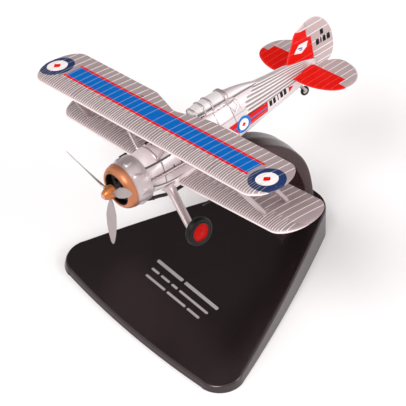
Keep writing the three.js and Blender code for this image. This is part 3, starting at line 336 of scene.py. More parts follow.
MATERIALS = {
    "upper_wing": painted(
        "upper_wing_dope", SILVER, metallic=0.25, roughness=0.46, rib=PALE_RIB_HIGHLIGHT, lines=True,
        layers={"sd_blue": BLUE, "sd_redline": RED, "sd_navy": NAVY, "sd_white": WHITE,
                "sd_dot": RED, "sd_mark": BLACK}),
    "lower_wing": painted(
        "lower_wing_dope", SILVER, metallic=0.25, roughness=0.46, rib=PALE_RIB_HIGHLIGHT, lines=True,
        layers={"sd_mark": BLACK}),
    "tail": painted(
        "tailplane_dope", TAIL_SILVER, metallic=0.2, roughness=0.44, rib=PALE_RIB_HIGHLIGHT, rib_show=0.05,
        layers={"sd_red": TAIL_RED}),
    "fin": painted(
        "fin_dope", TAIL_SILVER, metallic=0.2, roughness=0.44, rib=PALE_RIB_HIGHLIGHT, rib_show=0.05,
        layers={"sd_red": TAIL_RED, "sd_white": WHITE, "sd_badge": (40, 70, 150),
                "sd_black": BLACK}),
    "fuselage": painted(
        "fuselage_metal", (222, 211, 212), metallic=0.5, roughness=0.32, rib=BRIGHT_RIB_HIGHLIGHT,
        hollow_shade=0.25, lines=True,
        layers={"sd_door": (240, 237, 236), "sd_band": (206, 24, 14), "sd_bandline": SKY,
                "sd_sky": SKY, "sd_white": WHITE, "sd_dot": RED, "sd_black": BLACK},
        layer_metallic={"sd_door": 0.1}),
    # a brighter copy of the fuselage metal: painted light on the forward decking, belly and wing root
    # fillets
    "lit_metal": painted("decking_lit_metal", (244, 232, 234), metallic=0.35, roughness=0.33,
                       rib=BRIGHT_RIB_HIGHLIGHT, hollow_shade=0.25, lines=True),
    "cowl": painted("cowl_metal", (198, 186, 187), metallic=0.70, roughness=0.33, hollow_shade=0.2),
    "silver": painted("bare_silver", (192, 177, 178), metallic=0.6, roughness=0.31, hollow_shade=0.35),
    "blade": painted("blade_silver", (168, 157, 157), metallic=0.85, roughness=0.30, hollow_shade=0.0,
                     bump=0.0006, edge=0.0),
    # the near-black layer on the ring's inner face is painted shade
    "copper": painted("copper_paint", (192, 122, 84), metallic=0.62, roughness=0.38, hollow_shade=0.35,
                      vary=0.12, edge=0.5, specular=0.5, layers={"sd_inside_shade": (20, 16, 16)}),
    "spinner": painted("spinner_copper", (192, 116, 62), metallic=0.62, roughness=0.32,
                       hollow_shade=0.2, vary=0.12, specular=0.5, layers={"sd_tip": (206, 172, 156)},
                       layer_metallic={"sd_tip": 0.5}),
    "dark": painted("gun_dark", (40, 36, 38), metallic=0.4, roughness=0.5, hollow_shade=0.3),
    "engine": painted("engine_dark", (27, 25, 26), metallic=0.5, roughness=0.45, hollow_shade=0.6,
                      edge=0.6),
    "exhaust": painted("exhaust_brown", (58, 46, 44), metallic=0.35, roughness=0.55, hollow_shade=0.4,
                       vary=0.25),
    "tyre": painted("tyre_rubber", (16, 13, 14), metallic=0.0, roughness=0.40, hollow_shade=0.3,
                    bump=0.01, vary=0.18, specular=0.2, edge=0.6),
    "disc": painted("disc_red", (178, 4, 0), metallic=0.0, roughness=0.32, hollow_shade=0.3,
                    specular=0.10),
    "rim": painted("rim_grey", (38, 32, 33), metallic=0.3, roughness=0.40),
    "stand": painted("stand_black", (18, 13, 13), metallic=0.0, roughness=0.22, hollow_shade=0.0,
                     grain=0.7, vary=0.2, specular=0.85, edge=0.35, tint=(1.0, 0.82, 0.84)),
    # base lighter and pinker than the stand's black: a painted sheen for the reflections on the arm
    "arm": painted("arm_black_painted_sheen", (50, 31, 32), metallic=0.0, roughness=0.24, hollow_shade=0.0,
                   bump=0.001, grain=0.7, vary=0.1, specular=0.30, edge=0.35,
                   tint=(1.0, 0.74, 0.76)),
    "print": painted("print_grey", (158, 153, 153), metallic=0.0, roughness=0.5, hollow_shade=0.0,
                     edge=0.0, specular=0.2),
    "plate": painted("plate_black", (30, 28, 29), metallic=0.0, roughness=0.6, cad=True,
                     bump=0.05),
    "steel": painted("screw_steel", (150, 150, 154), metallic=0.9, roughness=0.32, cad=True,
                     hollow_shade=0.5),
    "seat": painted("seat_brown", (84, 60, 46), metallic=0.0, roughness=0.6, cad=True,
                    bump=0.05),
    "panel": painted("panel_black", (34, 34, 34), metallic=0.0, roughness=0.55, cad=True),
    "cockpit": painted("cockpit_dark", (26, 24, 25), metallic=0.0, roughness=0.6),
    "glass": canopy_material(),
}


# ------------------------------------------------------------------ mesh helpers
# A mesh is a pair: points in mm, and faces as lists of point numbers.
def build(name, mesh, mat, body="aircraft", slot=None, replaces=(), attrs=None, sharp=35,
          solid=None):
    """Makes the object; sharp is in degrees, solid is a wall thickness in mm."""
    points, faces = mesh
    points = np.asarray(points, float)
    if body == "stand":
        world = (points + STAND_SHIFT) / 1000
    else:
        world = (points @ TURN.T + ORIGIN) / 1000
    data = bpy.data.meshes.new(name)
    data.from_pydata(world.tolist(), [], [list(map(int, face)) for face in faces])
    place = data.attributes.new("pmm", "FLOAT_VECTOR", "POINT")
    place.data.foreach_set("vector", points.astype(np.float32).ravel())
    for key, values in (attrs or {}).items():
        values = np.broadcast_to(np.asarray(values, float), (len(points),))
        attribute = data.attributes.new(key, "FLOAT", "POINT")
        attribute.data.foreach_set("value", values.astype(np.float32).ravel())
    data.update()
    piece = bpy.data.objects.new(name, data)
    bpy.context.collection.objects.link(piece)
    data.materials.append(MATERIALS[mat])
    data.shade_smooth()
    data.set_sharp_from_angle(angle=rad(sharp))
    if solid:
        wall = piece.modifiers.new("thickness", "SOLIDIFY")
        wall.thickness, wall.offset = solid * 1e-3, -1
    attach(piece, body)
    if replaces:
        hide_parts(*replaces)


def skin(piece, mesh, mat, replaces=None, **options):
    """Builds the detailed skin that stands in for a CAD piece."""
    build(f"{piece}_skin", mesh, mat, replaces=[replaces or piece], **options)


def outward(points, faces):
    """Turns a closed mesh the right way out."""
    volume = 0.0
    for face in faces:
        first = points[face[0]]
        for i in range(1, len(face) - 1):
            volume += np.dot(first, np.cross(points[face[i]], points[face[i + 1]]))
    return faces if volume > 0 else [face[::-1] for face in faces]


def loft(loops, closed=False):
    """Skins a run of loops; closed joins last to first, otherwise the ends are capped."""
    loops = np.asarray(loops, float)
    count, around = loops.shape[:2]
    faces = []
    for i in range(count if closed else count - 1):
        row, following = i * around, (i + 1) % count * around
        for j in range(around):
            k = (j + 1) % around
            faces.append([row + j, row + k, following + k, following + j])
    if not closed:
        faces.append(list(range(around))[::-1])
        faces.append([(count - 1) * around + j for j in range(around)])
    points = loops.reshape(-1, 3)
    return points, outward(points, faces)


def merge(*meshes):
    points, faces, offset = [], [], 0
    for part_points, part_faces in meshes:
        points.append(np.asarray(part_points, float))
        faces += [[index + offset for index in face] for face in part_faces]
        offset += len(part_points)
    return np.concatenate(points), faces


def moved(mesh, stretch, shift):
    return mesh[0] * stretch + np.asarray(shift), mesh[1]


def lathe(profile, segments=64, axis="x", centre=(0, 0, 0), closed=False):
    """Turns rows of (place along the axis, radius); closed joins the profile end to end."""
    profile = np.asarray(profile, float)
    angles = np.arange(segments) / segments * 2 * math.pi
    along, across, upward = {"x": (0, 1, 2), "y": (1, 0, 2), "z": (2, 0, 1)}[axis]
    loops = np.zeros((len(profile), segments, 3))
    loops[..., along] = profile[:, :1]
    loops[..., across] = profile[:, 1:] * np.cos(angles)
    loops[..., upward] = profile[:, 1:] * np.sin(angles)
    return moved(loft(loops, closed), 1, centre)


def radial_lathe(profile, segments, angle, x):
    """A turned part pointing out from the thrust line, like a cylinder or a blade root."""
    points, faces = lathe(profile, segments, "z")
    out = np.array([0, math.cos(angle), math.sin(angle)])
    turn = np.column_stack([[1, 0, 0], np.cross(out, [1, 0, 0]), out])
    return points @ turn.T + np.array([x, 0, 0]), faces


def sweep(path, radius, segments=20, count=60, flat=1.0):
    """Round tube along a smooth path, drawn in slightly at its ends."""
    path = np.asarray(path, float)
    lengths = np.concatenate([[0], np.cumsum(np.linalg.norm(np.diff(path, axis=0), axis=1))])
    at = np.linspace(0, lengths[-1], count)
    centres = np.stack([smooth_curve(lengths, column, at) for column in path.T], 1)
    heading = np.gradient(centres, axis=0)
    heading /= np.linalg.norm(heading, axis=1)[:, None]
    end = np.minimum(at, lengths[-1] - at)
    radii = radius * np.where(end < 0.25, 0.82 + 0.18 * np.sqrt(np.clip(end / 0.25, 0, 1)), 1)
    angles = np.arange(segments) / segments * 2 * math.pi
    loops = []
    for centre, ahead, size in zip(centres, heading, radii):
        across = np.cross(ahead, [0, 0, 1.0])
        if np.linalg.norm(across) < 1e-3:
            across = np.cross(ahead, [0, 1.0, 0])
        across = unit(across)
        other = np.cross(ahead, across)
        loops.append(centre + size * (np.outer(np.cos(angles), across)
                                      + flat * np.outer(np.sin(angles), other)))
    return loft(loops)


def rounded_rectangle(core_x, core_y, radius, step_degrees):
    """Outline of a rectangle grown by a corner radius."""
    return np.array([
        [sign_x * core_x + radius * math.cos(rad(start + a)),
         sign_y * core_y + radius * math.sin(rad(start + a))]
        for sign_x, sign_y, start in ((1, 1, 0), (-1, 1, 90), (-1, -1, 180), (1, -1, 270))
        for a in range(0, 91, step_degrees)])


def rounded_box(centre, half, edge):
    """Box with rounded upright corners; each end is dished in by the edge radius."""
    loops = []
    for end, angles in ((-1, (0, 30, 60, 90)), (1, (90, 60, 30, 0))):
        for angle in angles:
            reach = edge * math.sin(rad(angle))
            outline = rounded_rectangle(half[0] - edge, half[1] - edge, max(reach, 1e-3), 30)
            level = np.full(len(outline), end * (half[2] - edge + reach))
            loops.append(np.column_stack([outline, level]))
    return moved(loft(loops), 1, centre)


def foil(bulge, squeeze=1.0):
    """Streamlined section of unit length and width, fuller towards its front."""
    across = 0.5 * np.sin(AROUND) * (1 + bulge * np.cos(AROUND)) / squeeze
    return 0.5 * np.cos(AROUND), across


def strut_sideways(along):
    return unit(np.cross([1, 0, 0], along))


# ------------------------------------------------------------------ wings
HALF_SPAN = 68.2
# leading edge x, chord, height at the centre line, dihedral in degrees, length of round tip
UPPER = dict(lead=-20.1, chord=22.7, height=16.2, dihedral=0.0, tip=8.7)
LOWER = dict(lead=-28.6, chord=23.9, height=-7.4, dihedral=2.0, tip=8.4)
# camber: chord fraction, height over chord
CAMBER_TOP = ([0, 0.02, 0.09, 0.28, 0.52, 0.78, 1.0],
              [0, 0.030, 0.057, 0.073, 0.061, 0.033, 0.006])
CAMBER_BOTTOM = ([0, 0.03, 0.35, 1.0], [0, -0.018, -0.023, -0.006])
# half of the centre cut-out in the upper trailing edge: y, depth
CUT_OUT = [(0, 4.45), (0.8, 4.40), (3.5, 3.7), (8, 2.35), (12.5, 1.0), (14.6, 0.42),
           (16.0, 0.06), (18.0, 0.0)]
CUT_OUT_MESH_END = 17.5
# y of the full-chord ribs
UPPER_RIBS = [0.0, 5.4, 9.7, 13.2, 16.6, 20.2, 24.0, 27.8, 31.3, 35.0, 38.4, 41.6, 45.0, 48.6,
              52.4, 56.1, 59.8, 63.3]
LOWER_RIBS = [0.0, 5.2, 9.0, 12.6, 16.4, 20.2, 23.8, 27.5, 31.2, 34.9, 38.5, 42.1, 45.7, 49.3,
              53.0, 56.7, 60.3, 63.6]
NOSE_RIB_PITCH = 1.32
FULL, LONG, SHORT = 1.0, 0.335, 0.275       # how far aft a rib reaches, as chord fraction
RIB_STATIONS = (-0.24, -0.15, -0.07, 0.07, 0.15, 0.24, 0.66)
LOWER_ROOT = 4.6

ROUNDEL_X, ROUNDEL_Y = -30.1, 61.7
STRIPE_X, STRIPE_END = -31.7, 53.2


def camber(table, fraction):
    return smooth_curve(np.sqrt(table[0]), table[1], np.sqrt(fraction))


def wing_point(wing, y, fraction, table):
    height = wing["height"] + abs(y) * math.tan(rad(wing["dihedral"]))
    return np.array([wing["lead"] - wing["chord"] * fraction, y,
                     height + wing["chord"] * float(camber(table, fraction))])


def rib_layout(start, full):
    """(y, reach) of the full ribs with short and long nose ribs between them."""
    layout = []
    for inner, outer in zip(full[:-1], full[1:]):
        count = max(2, int(round((outer - inner) / NOSE_RIB_PITCH)))
        for k in range(count):
            middle = k * 2 == count or count == 3 and k == 1
            reach = FULL if k == 0 else LONG if middle else SHORT
            layout.append((inner + (outer - inner) * k / count, reach))
    layout += [(full[-1], FULL), (full[-1] + 1.7, SHORT)]
    return [rib for rib in layout if rib[0] >= start]


def cut_out(y):
    """Chord fraction of the upper wing's trailing edge."""
    return 1 - read_table(CUT_OUT, y)[0] / UPPER["chord"]


def wing_half(wing, inner, side, ribs, trailing=None, chord_count=72):
    """Half a wing out to its tip: loops, rib mask, chord fraction and upper-face flag.

    Each loop runs over the top from the leading edge and back along the bottom.
    """
    chord, tip = wing["chord"], wing["tip"]
    tip_start = HALF_SPAN - tip
    spans = {round(inner, 4)}
    for rib_y, _ in ribs:
        spans.update(round(rib_y + offset, 4) for offset in RIB_STATIONS)
    for a in np.linspace(0, 1, 34):
        spans.add(round(tip_start + tip * math.sin(a * math.pi / 2 * 0.985), 4))
    if trailing:
        spans.update(round(float(y), 4) for y in np.arange(inner, CUT_OUT_MESH_END, 0.3))
    spans = thinned(np.array(sorted(
        y for y in spans if inner <= y <= HALF_SPAN * 0.99995)))
    u = np.linspace(0, 1, chord_count)
    spread = 0.55 * (0.5 - 0.5 * np.cos(math.pi * u)) + 0.45 * u**1.6
    spread = spread / spread[-1]
    into_tip = np.maximum(spans - tip_start, 0) / tip
    taper = np.sqrt(np.clip(1 - into_tip**2, 1e-4, 1))
    chords, depths = chord * taper, chord * taper**0.75
    leads = wing["lead"] - (chord - chords) * 0.5
    heights = wing["height"] + spans * math.tan(rad(wing["dihedral"]))
    ends = trailing(spans) if trailing else np.ones_like(spans)
    y, even = np.meshgrid(spans, spread, indexing="ij")
    fraction = np.where(even < 0.5, even, 0.5 + (even - 0.5) * (ends[:, None] - 0.5) / 0.5)
    mask = np.zeros_like(y)
    for rib_y, reach in ribs:
        along = rise(0.012, 0.03, fraction)
        if reach == FULL:
            along = along * fade(0.985, 1.0, even)
        else:
            along = along * fade(reach - 0.03, reach, fraction) * 0.85
        mask = np.maximum(mask, fade(0.09, 0.235, np.abs(y - rib_y)) * along)
    # the fabric dips a little between neighbouring full ribs
    full = np.array([rib_y for rib_y, reach in ribs if reach == FULL])
    sag = np.zeros_like(spans)
    for start, end in zip(full[:-1], full[1:]):
        bay = (spans >= start) & (spans <= end)
        sag[bay] = np.sin((spans[bay] - start) / (end - start) * math.pi)
    lift = 0.15 * mask * taper[:, None] ** 0.5
    dip = (0.07 * sag[:, None] * rise(0.30, 0.45, fraction) * fade(0.9, 1.0, even)
           * taper[:, None] ** 0.5)
    x = leads[:, None] - chords[:, None] * fraction
    top = heights[:, None] + depths[:, None] * camber(CAMBER_TOP, fraction) + lift - dip
    bottom = (heights[:, None] + depths[:, None] * camber(CAMBER_BOTTOM, fraction)
              - 0.8 * lift)

    def over_and_back(upper, lower):
        return np.concatenate([upper, lower[:, 1:][:, ::-1]], 1)

    return (over_and_back(np.stack([x, side * y, top], -1), np.stack([x, side * y, bottom], -1)),
            over_and_back(mask, mask), over_and_back(fraction, fraction),
            over_and_back(np.ones_like(y), np.zeros_like(y)))


def wing_attributes(mask, fraction):
    """Painted highlight on the raised ribs and along the leading edge, and painted shade between the
    close nose ribs.
    """
    shade = 0.30 * (1 - mask) * rise(0.02, 0.05, fraction) * fade(0.25, 0.30, fraction)
    return {"rib": np.maximum(mask, fade(0.006, 0.018, fraction) * 0.9).ravel(),
            "line": shade.ravel()}


def upper_wing():
    ribs = rib_layout(0, UPPER_RIBS)
    port, starboard = (wing_half(UPPER, 0.0, side, ribs, cut_out) for side in (1, -1))
    loops, mask, fraction, upper_face = (
        np.concatenate([right[::-1], left[1:]]) for right, left in zip(starboard, port))
    mesh = loft(loops)
    x, y = mesh[0][:, 0], mesh[0][:, 1]
    out = np.abs(y)
    from_roundel = np.hypot(x - ROUNDEL_X, out - ROUNDEL_Y)
    top_only = np.where(upper_face.ravel() > 0.5, 0.0, 5.0)
    red_lines = np.minimum(np.abs(x + 27.75), np.abs(x + 35.75)) - 0.42
    skin("upper_wing", mesh, "upper_wing", sharp=50, attrs={
        **wing_attributes(mask, fraction),
        "sd_blue": np.maximum(np.abs(x - STRIPE_X) - 3.55, out - STRIPE_END) + top_only,
        "sd_redline": np.maximum(red_lines, out - STRIPE_END - 0.8) - 0.1 + top_only,
        "sd_navy": from_roundel - 6.85,
        "sd_white": from_roundel - 4.1,
        "sd_dot": np.abs(x - ROUNDEL_X) + np.abs(out - ROUNDEL_Y) - 1.75,
        "sd_mark": box_distance(x, y, (-37.2, -17.6), (0.28, 0.75)) + top_only,
    })


def aileron_brackets(side, tag):
    parts = [rounded_box(wing_point(UPPER, side * y, 0.78, CAMBER_BOTTOM) - [0, 0, 0.25],
                         (0.75, 0.16, 0.35), 0.1) for y in (36.8, 46.8, 56.6)]
    build(f"{tag}_aileron_brackets", merge(*parts), "silver")


upper_wing()
for side, tag in SIDES:
    aileron_brackets(side, tag)

# ------------------------------------------------------------------ fuselage section
# x, half width, height of the widest line, top, bottom, roundness exponent above and below it
FUSELAGE = np.array([
    [-17.2, 7.45, 0.0, 7.5, -7.5, 2.0, 2.0], [-19.0, 7.6, 0.0, 8.0, -7.9, 2.0, 2.2],
    [-23.0, 7.65, 0.0, 8.7, -8.3, 2.0, 2.6], [-30.0, 7.5, 0.1, 9.2, -8.6, 2.0, 2.9],
    [-38.0, 7.15, 0.3, 9.9, -8.7, 2.05, 3.0], [-46.0, 6.75, 0.6, 10.6, -8.7, 2.15, 3.0],
    [-55.0, 6.25, 0.8, 11.15, -8.5, 2.2, 2.9], [-59.6, 5.95, 0.8, 11.3, -8.3, 2.2, 2.8],
    [-66.5, 5.4, 0.9, 10.75, -7.6, 2.0, 2.7], [-70.5, 5.1, 1.0, 10.2, -7.0, 1.95, 2.7],
    [-75.0, 4.75, 1.1, 9.5, -6.3, 1.95, 2.7], [-83.0, 4.1, 1.2, 8.6, -5.3, 2.0, 2.6],
    [-92.0, 3.2, 1.3, 7.7, -4.2, 2.0, 2.5], [-99.0, 2.35, 1.5, 6.3, -3.1, 2.0, 2.3],
    [-104.9, 1.1, 1.7, 4.7, -1.7, 2.0, 2.1]])[::-1]
TAIL_X, NOSE_X = FUSELAGE[0, 0], FUSELAGE[-1, 0]
SEAM_TOP = 5.2
# joint between the body and the lower wing casting: x, height
SEAM_LOW = ([-104.9, -92.0, -60.0, -55.0, -46.0, -36.9, -33.4, -29.3, -24.5, -20.8, -18.1, -17.2],
            [-1.6, -3.0, -4.6, -4.7, -4.9, -5.1, -5.3, -5.15, -4.6, -3.7, -2.75, -2.5])
STRINGERS = [0.10, 0.165, 0.225, 0.285, 0.345, 0.40, 0.455]     # girth
LOW_STRINGERS = (0.60, 0.69)
# headrest fairing half width: x, half width
HEADREST = ([-80.0, -76.8, -73.7, -67.5, -62.3, -58.0], [0.3, 0.9, 1.35, 2.0, 2.6, 3.0])
HEADREST_FRONT, HEADREST_TOP = -60.3, 13.35
PANEL_JOINTS = (-23.95, -33.9, -42.4, -52.4, -60.2)
TOP_COUNT, SIDE_COUNT, BELLY_COUNT = 72, 118, 30                # mesh columns per half
SKIN_WALL = 0.7


def seam_low(x):
    return np.interp(x, *SEAM_LOW)


def fuselage_point(x, girth):
    """Port y and z; girth is 0 at the top centre, 0.5 at the widest, 1 at the bottom."""
    width, middle, top, bottom, round_up, round_down = read_table(FUSELAGE, x)
    angle = (0.5 - girth) * math.pi
    cos, sin = np.cos(angle), np.sin(angle)
    exponent = np.where(sin > 0, round_up, round_down)
    height = np.where(sin > 0, top - middle, middle - bottom)
    return (width * np.abs(cos) ** (2 / exponent),
            middle + height * np.sign(sin) * np.abs(sin) ** (2 / exponent))


def girth_at(x, z):
    _, middle, top, bottom, round_up, round_down = read_table(FUSELAGE, x)
    exponent = np.where(z > middle, round_up, round_down)
    height = np.where(z > middle, top - middle, middle - bottom)
    sin = np.clip(np.abs(z - middle) / height, 0, 0.995) ** (exponent / 2)
    return 0.5 - np.sign(z - middle) * np.arcsin(sin) / math.pi


def side_y(x, z):
    return float(fuselage_point(x, girth_at(x, z))[0])


def surface_detail(x, girth, y, z):
    """Adds stringers, panel lines, trough and headrest: x, y, z, painted highlight mask, mask of dark
    joints and painted shade.
    """
    relief, rib, dark = np.zeros_like(x), np.zeros_like(x), np.zeros_like(x)

    def ridge(mask, height, shine):
        relief[:] += height * mask
        np.maximum(rib, shine * mask, out=rib)

    def groove(distance, zone, depth=0.16, width=0.15, ink=0.9):
        mask = fade(width * 0.45, width, np.abs(distance)) * zone
        relief[:] -= depth * mask
        np.maximum(dark, ink * mask, out=dark)

    # raised stringers behind the cockpit, each with a painted highlight and a painted shadow line
    # just below it; the topmost ones start further aft
    before_tail = fade(99.0, 103.0, -x)
    for i, line in enumerate(STRINGERS):
        start = -65.8 - 2.3 * max(0, 3 - i) - (0.8 if i % 2 else 0)
        run = rise(0, 1.4, start - x) * before_tail
        ridge(fade(0.004, 0.014, np.abs(girth - line)) * run, 0.17, 0.8)
        shadow = fade(0.009, 0.019, np.abs(girth - line - 0.027)) * run
        relief -= 0.10 * shadow
        np.maximum(dark, 0.72 * shadow, out=dark)
    # lower stringers, with a fainter painted highlight
    for line in LOW_STRINGERS:
        run = rise(57, 60, -x) * before_tail
        ridge(fade(0.004, 0.014, np.abs(girth - line)) * run, 0.12, 0.6)

    # panel lines: upright joints, then lengthwise joints and the seams of the castings
    side_zone = (girth > 0.2) & (girth < 0.86)
    low = seam_low(x)
    groove(x + 23.95, side_zone & (z > low), width=0.19)
    groove(x + 33.9, side_zone & (z > 0.4) & (z < 5.3), depth=0.12)
    groove(x + 42.4, (girth < 0.86) & (z < 9.6), depth=0.14)
    groove(x + 52.4, (z < 9.6) & (z > 4.25), depth=0.14, ink=0.8)
    groove(x + 60.2 - (z - 4.0) * 0.12, (z < 10.2) & (z > -6.0), ink=0.8)
    groove(x + 64.0 + (9.4 - z) * 0.1, (z < 9.4) & (z > 5.2), depth=0.10, ink=0.5)
    groove(z - 4.25, (x < -42.0) & (x > -66.5), depth=0.12, ink=0.55)
    groove(z - 9.55, (x < -42.0) & (x > -64.0), depth=0.12, ink=0.55)
    groove(z - SEAM_TOP, x > -42.4, depth=0.24, width=0.36, ink=1.0)
    groove(z - low, (x < -17.6) & (x > -55.4), depth=0.26, width=0.52, ink=1.0)
    groove(z - low, (x <= -55.4) & (x > -99), depth=0.08, width=0.16, ink=0.45)
    # slanted plate behind the cockpit door
    plate = polygon_distance(x, z, [(-59.4, 9.2), (-62.6, 9.5), (-63.3, 7.2), (-61.4, 5.6)])
    groove(plate, (x < -59.0) & (x > -64.5) & (z > 5.0), depth=0.10, ink=0.6)
    # sill rail under the canopy, with a painted highlight on it and a painted shadow line below it
    sill = rise(0, 1.5, -42.5 - x) * fade(0, 1.5, -62.5 - x)
    ridge(fade(0.16, 0.34, np.abs(z - 10.15)) * sill, 0.22, 0.8)
    np.maximum(dark, 0.6 * fade(0.10, 0.2, np.abs(z - 9.72)) * sill, out=dark)
    # trough for the gun tube, with painted shade along its rim
    from_trough = np.abs(z - (0.5 - (-17.3 - x) / 17 * 0.95))
    run = ((x > -34.8) & (x < -17.0)) * fade(33.0, 34.8, -x)
    relief -= 0.62 * np.sqrt(np.clip(0.85**2 - from_trough**2, 0, None)) * run
    np.maximum(dark, 0.55 * fade(0.10, 0.22, np.abs(from_trough - 0.78)) * run, out=dark)

    from_axis = np.hypot(y, z - 0.5)
    new_y, new_z = y + relief * y / from_axis, z + relief * (z - 0.5) / from_axis
    # headrest fairing standing above the spine: a tapering half cone, with a painted shade line round
    # its foot and a painted highlight just inside its edge
    aft = np.clip((HEADREST_FRONT - x) / 16.5, 0, 1)
    half = np.interp(x, *HEADREST)
    width, middle, top, _, round_up, _ = read_table(FUSELAGE, x)
    foot = middle + (top - middle) * (
        1 - np.clip(half / width, 0, 1) ** round_up) ** (1 / round_up)
    crest = HEADREST_TOP * (1 - aft) + (top + 0.03) * aft
    cone = foot + (crest - foot) * np.sqrt(np.clip(1 - (new_y / half) ** 2, 0, 1))
    on_cone = ((x < HEADREST_FRONT) & (x > -76.8) & (np.abs(new_y) < half) & (girth < 0.35))
    lift = np.where(on_cone, np.maximum(cone - new_z, 0), 0)
    dark, rib = np.where(on_cone, 0, dark), np.where(on_cone, 0, rib)
    near = (x < -60.9) & (x > -76.0) & (girth < 0.35)
    inward = half - np.abs(new_y)
    outline = near * 0.9 * fade(0.10, 0.24, np.abs(inward + 0.14))
    shine = near * 0.9 * fade(0.10, 0.24, np.abs(inward - 0.22))
    return x, new_y, new_z + lift, np.maximum(rib, shine), np.maximum(dark, outline)


def fuselage_patch(stations, upper, lower, count):
    """Port skin between two girth lines."""
    across = np.linspace(0, 1, count)[None, :]
    x = np.repeat(stations[:, None], count, 1)
    girth = upper[:, None] * (1 - across) + lower[:, None] * across
    return surface_detail(x, girth, *fuselage_point(x, girth))


def fuselage_grid():
    """Closed rings of skin points from nose to tail, with their masks of painted highlight and of
    dark joints with painted shade.
    """
    close = [np.array([c - 0.13, c - 0.05, c + 0.05, c + 0.13]) for c in PANEL_JOINTS]
    stations = np.unique(np.round(np.concatenate([
        np.arange(TAIL_X, NOSE_X, 0.34), [NOSE_X], np.arange(-76.0, -59.0, 0.17), *close]),
        3))[::-1]
    stations = thinned(stations)
    upper = girth_at(stations, np.full_like(stations, SEAM_TOP))
    lower = girth_at(stations, seam_low(stations))
    # near the tail the top seam leaves the section, so the split keeps a steady girth
    upper = np.where(stations < -92, np.minimum(upper, 0.30), upper)
    upper, lower = np.clip(upper, 0.12, 0.42), np.clip(lower, 0.60, 0.86)
    patches = (fuselage_patch(stations, np.zeros_like(stations), upper, TOP_COUNT),
               fuselage_patch(stations, upper, lower, SIDE_COUNT),
               fuselage_patch(stations, lower, np.ones_like(stations), BELLY_COUNT))
    x, y, z, rib, dark = (np.concatenate([top, middle[:, 1:], belly[:, 1:]], 1)
                          for top, middle, belly in zip(*patches))

    def around(port, starboard):
        return np.concatenate([port, starboard[:, ::-1][:, 1:-1], port[:, :1]], 1)

    points = around(np.stack([x, y, z], -1), np.stack([x, -y, z], -1))
    return points, around(rib, rib), around(dark, dark), x.shape[1]


def sheet(grid, axis_z, skip=None):
    """Open skin round a lengthwise axis, facing away from it; also which points it uses."""
    rows, columns = grid.shape[:2]
    index = np.arange(rows * columns).reshape(rows, columns)
    faces = [[index[i, j], index[i, j + 1], index[i + 1, j + 1], index[i + 1, j]]
             for i in range(rows - 1) for j in range(columns - 1)
             if skip is None or not skip[i, j]]
    used = np.zeros(rows * columns, bool)
    used[np.array(faces).ravel()] = True
    renumber = np.cumsum(used) - 1
    points = grid.reshape(-1, 3)[used]
    faces = [[int(renumber[k]) for k in face] for face in faces]
    facing = 0.0
    for face in faces[:: max(1, len(faces) // 400)]:
        first, second, third = points[face[:3]]
        middle = points[face].mean(0)
        facing += np.dot(np.cross(second - first, third - first),
                         [0, middle[1], middle[2] - axis_z])
    if facing <= 0:
        faces = [face[::-1] for face in faces]
    return (points, faces), used


skin_grid, skin_highlight, skin_joints_and_shade, half_columns = fuselage_grid()
cell_x, cell_y, cell_z = np.moveaxis((skin_grid[:-1, :-1] + skin_grid[1:, 1:]) / 2, -1, 0)
column = np.arange(skin_grid.shape[1] - 1)
column = np.where(column < half_columns - 1, column, 2 * (half_columns - 1) - 1 - column)
ON_TOP = (column < TOP_COUNT - 1)[None, :] & (cell_x > -42.35)
ON_BELLY = ((column >= TOP_COUNT + SIDE_COUNT - 2)[None, :]
            & (cell_x < -19.0) & (cell_x > -55.3))
IN_COCKPIT = (np.abs(cell_y) < 3.05) & (cell_x < -45.3) & (cell_x > -58.5) & (cell_z > 5)


def skin_panel(skip, lift=0.0):
    """The part of the fuselage skin outside skip, moved up by lift, with its masks."""
    mesh, used = sheet(skin_grid, 0.5, skip)
    masks = {"rib": skin_highlight.ravel()[used], "line": skin_joints_and_shade.ravel()[used]}
    return moved(mesh, 1, (0, 0, lift)), masks


def fuselage_marks(points):
    """Signed distances of the painted marks on both sides."""
    x, z = points[:, 0], points[:, 2]
    off_side = np.where(np.abs(points[:, 1]) > 1.0, 0, 9.0)
    band = polygon_distance(x, z, [(-56.3, 1.5), (-66.8, 1.8), (-77.1, 1.35), (-76.7, -3.0),
                                   (-66.8, -3.5), (-60.6, -3.7)])
    triangle = polygon_distance(x, z, [(-88.5, 1.4), (-91.3, 0.5), (-88.7, -1.1)])
    door = polygon_distance(x, z, [(-53.0, 4.7), (-59.5, 5.0), (-59.5, 8.5), (-53.0, 8.3)])
    line = np.maximum(np.abs(z + 0.9) - 0.24, np.maximum(x + 58.4, -76.6 - x))
    roundel_x, roundel_z = x + 63.9, z + 1.2
    from_roundel = np.hypot(roundel_x, roundel_z)
    blocks = []
    for k, width in enumerate((0.62, 0.55, 0.2, 0.6, 0.6)):
        block_x = -78.6 - k * 1.98
        block_z = -0.22 + (-78.1 - block_x) * 0.062
        blocks.append(box_distance(x, z, (block_x, block_z), (width * 1.18, 1.28), -0.06))
    marks = {"sd_band": union(band, triangle), "sd_bandline": line,
             "sd_sky": from_roundel - 3.6, "sd_white": from_roundel - 2.42,
             "sd_dot": np.abs(roundel_x) + np.abs(roundel_z) - 1.0,
             "sd_black": union(*blocks), "sd_door": door}
    return {name: distance + off_side for name, distance in marks.items()}


def fuselage_skins():
    mesh, masks = skin_panel(ON_TOP | ON_BELLY | IN_COCKPIT)
    skin("fuselage_casting", mesh, "fuselage", solid=SKIN_WALL, sharp=30,
         attrs={**masks, **fuselage_marks(mesh[0])})
    # the domed top ahead of the cockpit stands slightly proud of the seam
    mesh, masks = skin_panel(~ON_TOP, lift=0.10)
    skin("forward_decking", mesh, "lit_metal", solid=SKIN_WALL, sharp=30, attrs=masks)


